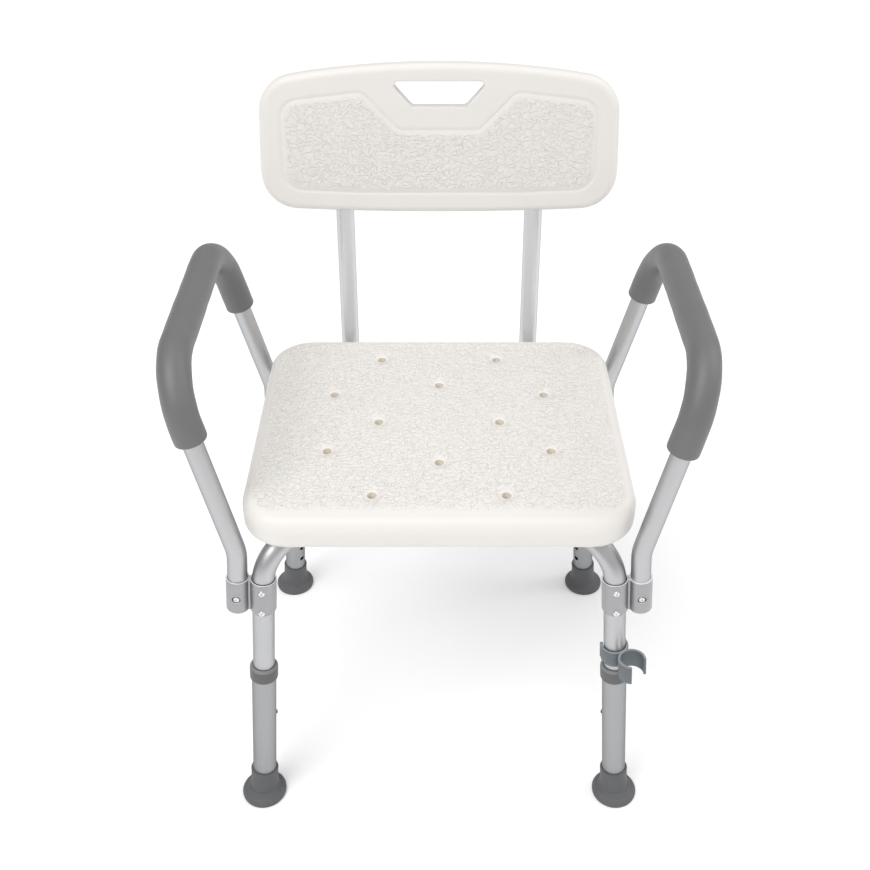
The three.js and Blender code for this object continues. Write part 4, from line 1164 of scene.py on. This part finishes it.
# ---- back posts and receivers ----
def make_post(side):
    x = SIDES_OF[side] * POST_SPREAD
    slope = slope_matrix()
    down = (SEAT_HIGH.z - POST_LEVEL) / math.cos(RECLINE)
    start = Vector((x, RECEIVER_FRONT - 3.5 * MM, POST_LEVEL))
    corners = [
        (start, 0),
        (slope @ Vector((x, -down, 0)), POST_BEND_R),
        (slope @ Vector((x, POST_LENGTH, 0)), 0),
    ]
    mesh = tube("post", corners, POST_R, POST_WALL)
    # The posts take the lighter, painted-light copy of the tube metal.
    shade(add_piece(f"back_post_{side}", mesh, "frame", "tube_metal", post_metal_painted_light))

    low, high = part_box(f"back_receiver_{side}")
    half = (high - low) / 2
    corners = [
        (-half.x, -half.z, 3 * MM),
        (half.x, -half.z, 3 * MM),
        (half.x, half.z, 1 * MM),
        (-half.x, half.z, 1 * MM),
    ]
    outline = fillet(corners, True, 6)
    middle = (low + high) / 2
    stand = Matrix.Translation(middle) @ Matrix.Rotation(math.pi / 2, 4, "X")
    block = plate("receiver", outline, edged(-half.y, half.y, 0.8 * MM, 0.8 * MM, 3), stand)
    piece = add_piece(f"back_receiver_{side}", block, "frame", "grey_plastic")
    bore = rod(POST_R + 0.1 * MM, Vector((x, low.y - MM, POST_LEVEL)), (0, 1, 0), 30 * MM, 40)
    combine(piece, [bore])
    shade(piece)
    at = Vector((middle.x, middle.y, low.z - 0.3 * MM))
    add_screw(f"receiver_screw_{side}", at, UP, 50 * MM, SCREW_R, "frame")


# ---- shower head clip ----
def ring_outline(inner, outer, mouth, bearing, steps=40):
    first, last = bearing + mouth / 2, bearing + 2 * math.pi - mouth / 2
    points = []
    for k in range(steps + 1):
        a = first + (last - first) * k / steps
        points.append(Vector((outer * math.cos(a), outer * math.sin(a))))
    for k in range(steps + 1):
        a = last + (first - last) * k / steps
        points.append(Vector((inner * math.cos(a), inner * math.sin(a))))
    return points


def make_clip():
    matrix = leg_matrix("front_right")
    low, high = CLIP_BOTTOM, CLIP_BOTTOM + CLIP_HEIGHT
    inner, outer = 13.1 * MM, 15.9 * MM
    holder_r, wall = 16 * MM, 2.8 * MM
    reach = outer + holder_r - 0.7 * wall
    bearing, mouth, mouth_bearing = (math.radians(angle) for angle in (-56, 132, 101))
    levels = edged(low, high, 0.5 * MM, 0.5 * MM, 2)
    grip = ring_outline(inner, outer, mouth, mouth_bearing)
    mesh = plate("clip", grip, levels, matrix)
    piece = add_piece("shower_head_clip", mesh, "shower_clip", "grey_plastic")
    joined = []
    for end in (mouth_bearing - mouth / 2, mouth_bearing + mouth / 2):
        out = outer - 0.8 * MM
        start = matrix @ Vector((out * math.cos(end), out * math.sin(end), low + 0.2 * MM))
        joined.append(rod(1.9 * MM, start, leg_axis("front_right"), CLIP_HEIGHT - 0.4 * MM, 24))
    holder = ring_outline(holder_r - wall, holder_r, math.radians(93), math.radians(-52))
    beside = Matrix.Translation((reach * math.cos(bearing), reach * math.sin(bearing), 0))
    tall = edged(low - 4 * MM, high - 0.02 * MM, 0.5 * MM, 0.5 * MM, 2)
    joined.append(loose("holder", plate("holder", holder, tall, matrix @ beside)))
    combine(piece, joined, "UNION")
    # Painted highlight on the clip's upper faces.
    paint_top_highlight(piece, leg_axis("front_right"))
    shade(piece, 40)


# ---- what a user would change ----
COLOR = {"subtype": "COLOR", "size": 3, "min": 0, "max": 1}


class ChairFinish(bpy.types.PropertyGroup):
    """Colours and grain of the chair's finishes."""

    plastic_color: FloatVectorProperty(
        name="White plastic",
        description="Colour of the seat and the backrest",
        default=(0.81, 0.785, 0.75),
        **COLOR,
    )
    # Painted light: the colour laid on the drain-hole walls to stand for light shining through
    # them.
    painted_hole_light_color: FloatVectorProperty(
        name="Painted light in the holes",
        description="Painted light: warmer, paler colour on the walls of the drain holes, standing for light shining through them",
        default=(0.92, 0.86, 0.78),
        **COLOR,
    )
    tube_color: FloatVectorProperty(
        name="Tubes",
        description="Colour of the arm tubes and the crossed frame tubes",
        default=(0.55, 0.552, 0.556),
        **COLOR,
    )
    # Painted light: a lighter copy of the tube colour for the back posts.
    post_painted_light_color: FloatVectorProperty(
        name="Posts",
        description="Colour of the back posts: the tube metal painted lighter, standing for the extra light they catch",
        default=(0.76, 0.765, 0.77),
        **COLOR,
    )
    leg_color: FloatVectorProperty(
        name="Legs",
        description="Colour of the sliding leg tubes",
        default=(0.415, 0.42, 0.427),
        **COLOR,
    )
    clamp_color: FloatVectorProperty(
        name="Clamps",
        description="Colour of the arm clamps",
        default=(0.4, 0.4, 0.41),
        **COLOR,
    )
    foam_color: FloatVectorProperty(
        name="Foam",
        description="Colour of the arm pads",
        default=(0.15, 0.15, 0.152),
        **COLOR,
    )
    rubber_color: FloatVectorProperty(
        name="Rubber",
        description="Colour of the feet",
        default=(0.115, 0.117, 0.122),
        **COLOR,
    )
    clip_color: FloatVectorProperty(
        name="Clip",
        description="Colour of the shower head clip and the buttons",
        default=(0.135, 0.155, 0.168),
        **COLOR,
    )
    collar_color: FloatVectorProperty(
        name="Collars",
        description="Colour of the leg collars",
        default=(0.118, 0.116, 0.118),
        **COLOR,
    )
    grain_scale: FloatProperty(
        name="Grain scale",
        description="Wrinkles of the leather grain in a metre",
        min=20,
        max=400,
        default=185,
    )
    grain_depth: FloatProperty(
        name="Grain depth",
        description="Height of the leather grain",
        unit="LENGTH",
        min=0,
        max=0.002,
        precision=5,
        default=0.00062,
    )


class ChairMoulding(bpy.types.PropertyGroup):
    """Sizes of the two white mouldings and the foam."""

    moulding_step: FloatProperty(
        name="Moulding step",
        description="Size of the cells that the mouldings' skins are made of",
        unit="LENGTH",
        min=0.001,
        max=0.006,
        precision=4,
        default=0.002,
    )
    front_roll: FloatProperty(
        name="Front roll",
        description="How far back from the front edge the seat starts to roll down",
        unit="LENGTH",
        min=0.01,
        max=0.08,
        default=0.05,
    )
    front_drop: FloatProperty(
        name="Front drop",
        description="How far the seat has rolled down at its front edge",
        unit="LENGTH",
        min=0,
        max=0.02,
        default=0.009,
    )
    dent_reach: FloatProperty(
        name="Dent reach",
        description="Radius of the shallow dent round each drain hole",
        unit="LENGTH",
        min=0.006,
        max=0.02,
        precision=4,
        default=0.0155,
    )
    dent_depth: FloatProperty(
        name="Dent depth",
        description="Depth of the shallow dent round each drain hole",
        unit="LENGTH",
        min=0,
        max=0.004,
        precision=4,
        default=0.0028,
    )
    groove_depth: FloatProperty(
        name="Groove depth",
        description="Depth of the line pressed into the backrest",
        unit="LENGTH",
        min=0,
        max=0.003,
        precision=4,
        default=0.0012,
    )
    pad_swell: FloatProperty(
        name="Pad swell",
        description="How much the arm pads vary in thickness",
        unit="LENGTH",
        min=0,
        max=0.002,
        precision=4,
        default=0.0002,
    )


class ChairStage(bpy.types.PropertyGroup):
    """Floor, light and camera."""

    floor_color: FloatVectorProperty(
        name="Floor",
        description="Colour of the floor",
        default=(0.94, 0.94, 0.945),
        **COLOR,
    )
    key_power: FloatProperty(
        name="Key light",
        description="Power of the large light at the front left",
        unit="POWER",
        min=0,
        default=22,
    )
    sun: FloatProperty(
        name="Sun",
        description="Strength of the wide soft light from the upper left that casts the shadows",
        min=0,
        default=0.95,
    )
    sky: FloatProperty(
        name="Sky",
        description="Strength of the soft light from all around",
        min=0,
        default=0.74,
    )
    lens: FloatProperty(
        name="Lens",
        description="Focal length of the camera in millimetres",
        subtype="DISTANCE_CAMERA",
        unit="CAMERA",
        min=10,
        default=45.52,
    )
    tilt: FloatProperty(
        name="Tilt",
        description="Angle of the camera up from straight down",
        subtype="ANGLE",
        default=math.radians(53.16),
    )


# ---- operators ----
class CHAIR_OT_seat(bpy.types.Operator):
    """Make the seat with its drain holes, rolled front edge and leather grain"""

    bl_idname = "shower_chair.seat"
    bl_label = "Seat"

    def execute(self, context):
        make_seat(context.scene.chair_moulding)
        return {"FINISHED"}


class CHAIR_OT_backrest(bpy.types.Operator):
    """Make the backrest with its handle slot, pressed groove, sockets and screws"""

    bl_idname = "shower_chair.backrest"
    bl_label = "Backrest"

    def execute(self, context):
        make_backrest(context.scene.chair_moulding)
        return {"FINISHED"}


class CHAIR_OT_cross_tubes(bpy.types.Operator):
    """Make the two crossed frame tubes, their bolt and nut, and the seat screws"""

    bl_idname = "shower_chair.cross_tubes"
    bl_label = "Crossed Tubes"

    def execute(self, context):
        make_cross_tubes()
        return {"FINISHED"}


class CHAIR_OT_legs(bpy.types.Operator):
    """Make the sliding leg tubes with their holes, collars and rubber feet"""

    bl_idname = "shower_chair.legs"
    bl_label = "Legs"

    def execute(self, context):
        for leg in LEG_NAMES:
            make_leg(leg)
        return {"FINISHED"}


class CHAIR_OT_buttons(bpy.types.Operator):
    """Make the push buttons that lock the legs, and finish their springs"""

    bl_idname = "shower_chair.buttons"
    bl_label = "Leg Buttons"

    def execute(self, context):
        for leg in LEG_NAMES:
            make_button(leg)
        return {"FINISHED"}


class CHAIR_OT_clamps(bpy.types.Operator):
    """Make the arm clamps with their rivets and recessed screws"""

    bl_idname = "shower_chair.clamps"
    bl_label = "Arm Clamps"

    def execute(self, context):
        for leg in LEG_NAMES:
            make_clamp(leg)
        return {"FINISHED"}


class CHAIR_OT_arms(bpy.types.Operator):
    """Make the two bent arm tubes"""

    bl_idname = "shower_chair.arms"
    bl_label = "Arm Tubes"

    def execute(self, context):
        for side in SIDES_OF:
            make_arm(side)
        return {"FINISHED"}


class CHAIR_OT_pads(bpy.types.Operator):
    """Make the foam pads on the arms"""

    bl_idname = "shower_chair.pads"
    bl_label = "Arm Pads"

    def execute(self, context):
        for side in SIDES_OF:
            make_pad(side, context.scene.chair_moulding.pad_swell)
        return {"FINISHED"}


class CHAIR_OT_posts(bpy.types.Operator):
    """Make the back posts with their receivers and screws under the seat"""

    bl_idname = "shower_chair.posts"
    bl_label = "Back Posts"

    def execute(self, context):
        for side in SIDES_OF:
            make_post(side)
        return {"FINISHED"}


class CHAIR_OT_clip(bpy.types.Operator):
    """Make the clip that holds a shower head on the right front leg"""

    bl_idname = "shower_chair.clip"
    bl_label = "Shower Head Clip"

    def execute(self, context):
        make_clip()
        return {"FINISHED"}


# ---- stage ----
KEY_PLACE = (-1.5, -1.7, 2.6)
FILL_PLACE = (2.1, 0.2, 2.0)
SUN_WAY = (0.34, 0.4, -1.15)
SUN_SPREAD = math.radians(38)
CAMERA_PLACE = (0, CENTRE.y - 1.0442, 1.2101)
CAMERA_SHIFT = -0.0048
FLOOR_HALF = 12


def add_light(name, place, target, size, power):
    """A large soft rectangle of light turned to a target."""
    data = bpy.data.lights.new(name, "AREA")
    data.shape = "RECTANGLE"
    data.size, data.size_y = size
    data.energy = power
    lamp = bpy.data.objects.new(name, data)
    lamp.location = place
    lamp.rotation_euler = (Vector(target) - Vector(place)).to_track_quat("-Z", "Y").to_euler()
    bpy.context.scene.collection.objects.link(lamp)


class CHAIR_OT_stage(bpy.types.Operator):
    """Make the floor, the soft studio light and the camera"""

    bl_idname = "shower_chair.stage"
    bl_label = "Stage"

    def execute(self, context):
        scene = context.scene
        stage = scene.chair_stage
        bm = bmesh.new()
        bmesh.ops.create_grid(bm, x_segments=4, y_segments=4, size=FLOOR_HALF)
        floor = loose("floor", mesh_of("floor", bm))
        floor.data.materials.append(finish("floor_paint", floor_paint))

        world = bpy.data.worlds.new("studio")
        world.use_nodes = True
        nodes, links = world.node_tree.nodes, world.node_tree.links
        sky = nodes["Background"]
        place = nodes.new("ShaderNodeTexCoord")
        split = nodes.new("ShaderNodeSeparateXYZ")
        ramp = nodes.new("ShaderNodeValToRGB")
        low, high = ramp.color_ramp.elements
        low.position, low.color = 0, (0.45, 0.45, 0.46, 1)
        high.position, high.color = 0.75, (1, 1, 1, 1)
        brighter = nodes.new("ShaderNodeMath")
        brighter.operation = "MULTIPLY_ADD"
        brighter.inputs[1].default_value = 0.3 * stage.sky
        brighter.inputs[2].default_value = stage.sky
        for start, end in (
            (place.outputs["Generated"], split.inputs["Vector"]),
            (split.outputs["X"], brighter.inputs[0]),
            (brighter.outputs["Value"], sky.inputs["Strength"]),
            (split.outputs["Z"], ramp.inputs["Fac"]),
            (ramp.outputs["Color"], sky.inputs["Color"]),
        ):
            links.new(start, end)
        scene.world = world

        sun = bpy.data.lights.new("sun", "SUN")
        sun.energy = stage.sun
        sun.angle = SUN_SPREAD
        lamp = bpy.data.objects.new("sun", sun)
        lamp.rotation_euler = Vector(SUN_WAY).to_track_quat("-Z", "Y").to_euler()
        scene.collection.objects.link(lamp)
        add_light("key", KEY_PLACE, (0, 0, 0.35), (1.6, 1.6), stage.key_power)
        add_light("fill", FILL_PLACE, (0, 0, 0.4), (0.9, 2.2), stage.key_power * 0.55)

        data = bpy.data.cameras.new("camera")
        data.sensor_width = 36
        data.lens = stage.lens
        data.shift_x = CAMERA_SHIFT
        camera = bpy.data.objects.new("camera", data)
        camera.location = CAMERA_PLACE
        camera.rotation_euler = (stage.tilt, 0, 0)
        scene.collection.objects.link(camera)
        scene.camera = camera
        scene.view_settings.view_transform = "Standard"
        return {"FINISHED"}


PROPERTY_GROUPS = {
    "chair_finish": ChairFinish,
    "chair_moulding": ChairMoulding,
    "chair_stage": ChairStage,
}
OPERATORS = (
    CHAIR_OT_stage,
    CHAIR_OT_seat,
    CHAIR_OT_backrest,
    CHAIR_OT_cross_tubes,
    CHAIR_OT_legs,
    CHAIR_OT_buttons,
    CHAIR_OT_clamps,
    CHAIR_OT_arms,
    CHAIR_OT_pads,
    CHAIR_OT_posts,
    CHAIR_OT_clip,
)


class CHAIR_PT_panel(bpy.types.Panel):
    """Lists the chair's pieces, sizes and colours"""

    bl_idname = "CHAIR_PT_panel"
    bl_label = "Shower Chair"
    bl_space_type = "VIEW_3D"
    bl_region_type = "UI"
    bl_category = "Shower Chair"

    def draw(self, context):
        for operator in OPERATORS:
            self.layout.operator(operator.bl_idname)
        for name, group in PROPERTY_GROUPS.items():
            box = self.layout.box()
            settings = getattr(context.scene, name)
            for key in group.__annotations__:
                box.prop(settings, key)


CLASSES = (*PROPERTY_GROUPS.values(), *OPERATORS, CHAIR_PT_panel)


def register():
    for cls in CLASSES:
        bpy.utils.register_class(cls)
    for name, group in PROPERTY_GROUPS.items():
        setattr(bpy.types.Scene, name, PointerProperty(type=group))


def unregister():
    for name in PROPERTY_GROUPS:
        delattr(bpy.types.Scene, name)
    for cls in reversed(CLASSES):
        bpy.utils.unregister_class(cls)


def main():
    register()
    for operator in OPERATORS:
        group, name = operator.bl_idname.split(".")
        getattr(getattr(bpy.ops, group), name)()


if __name__ == "__main__":
    main()
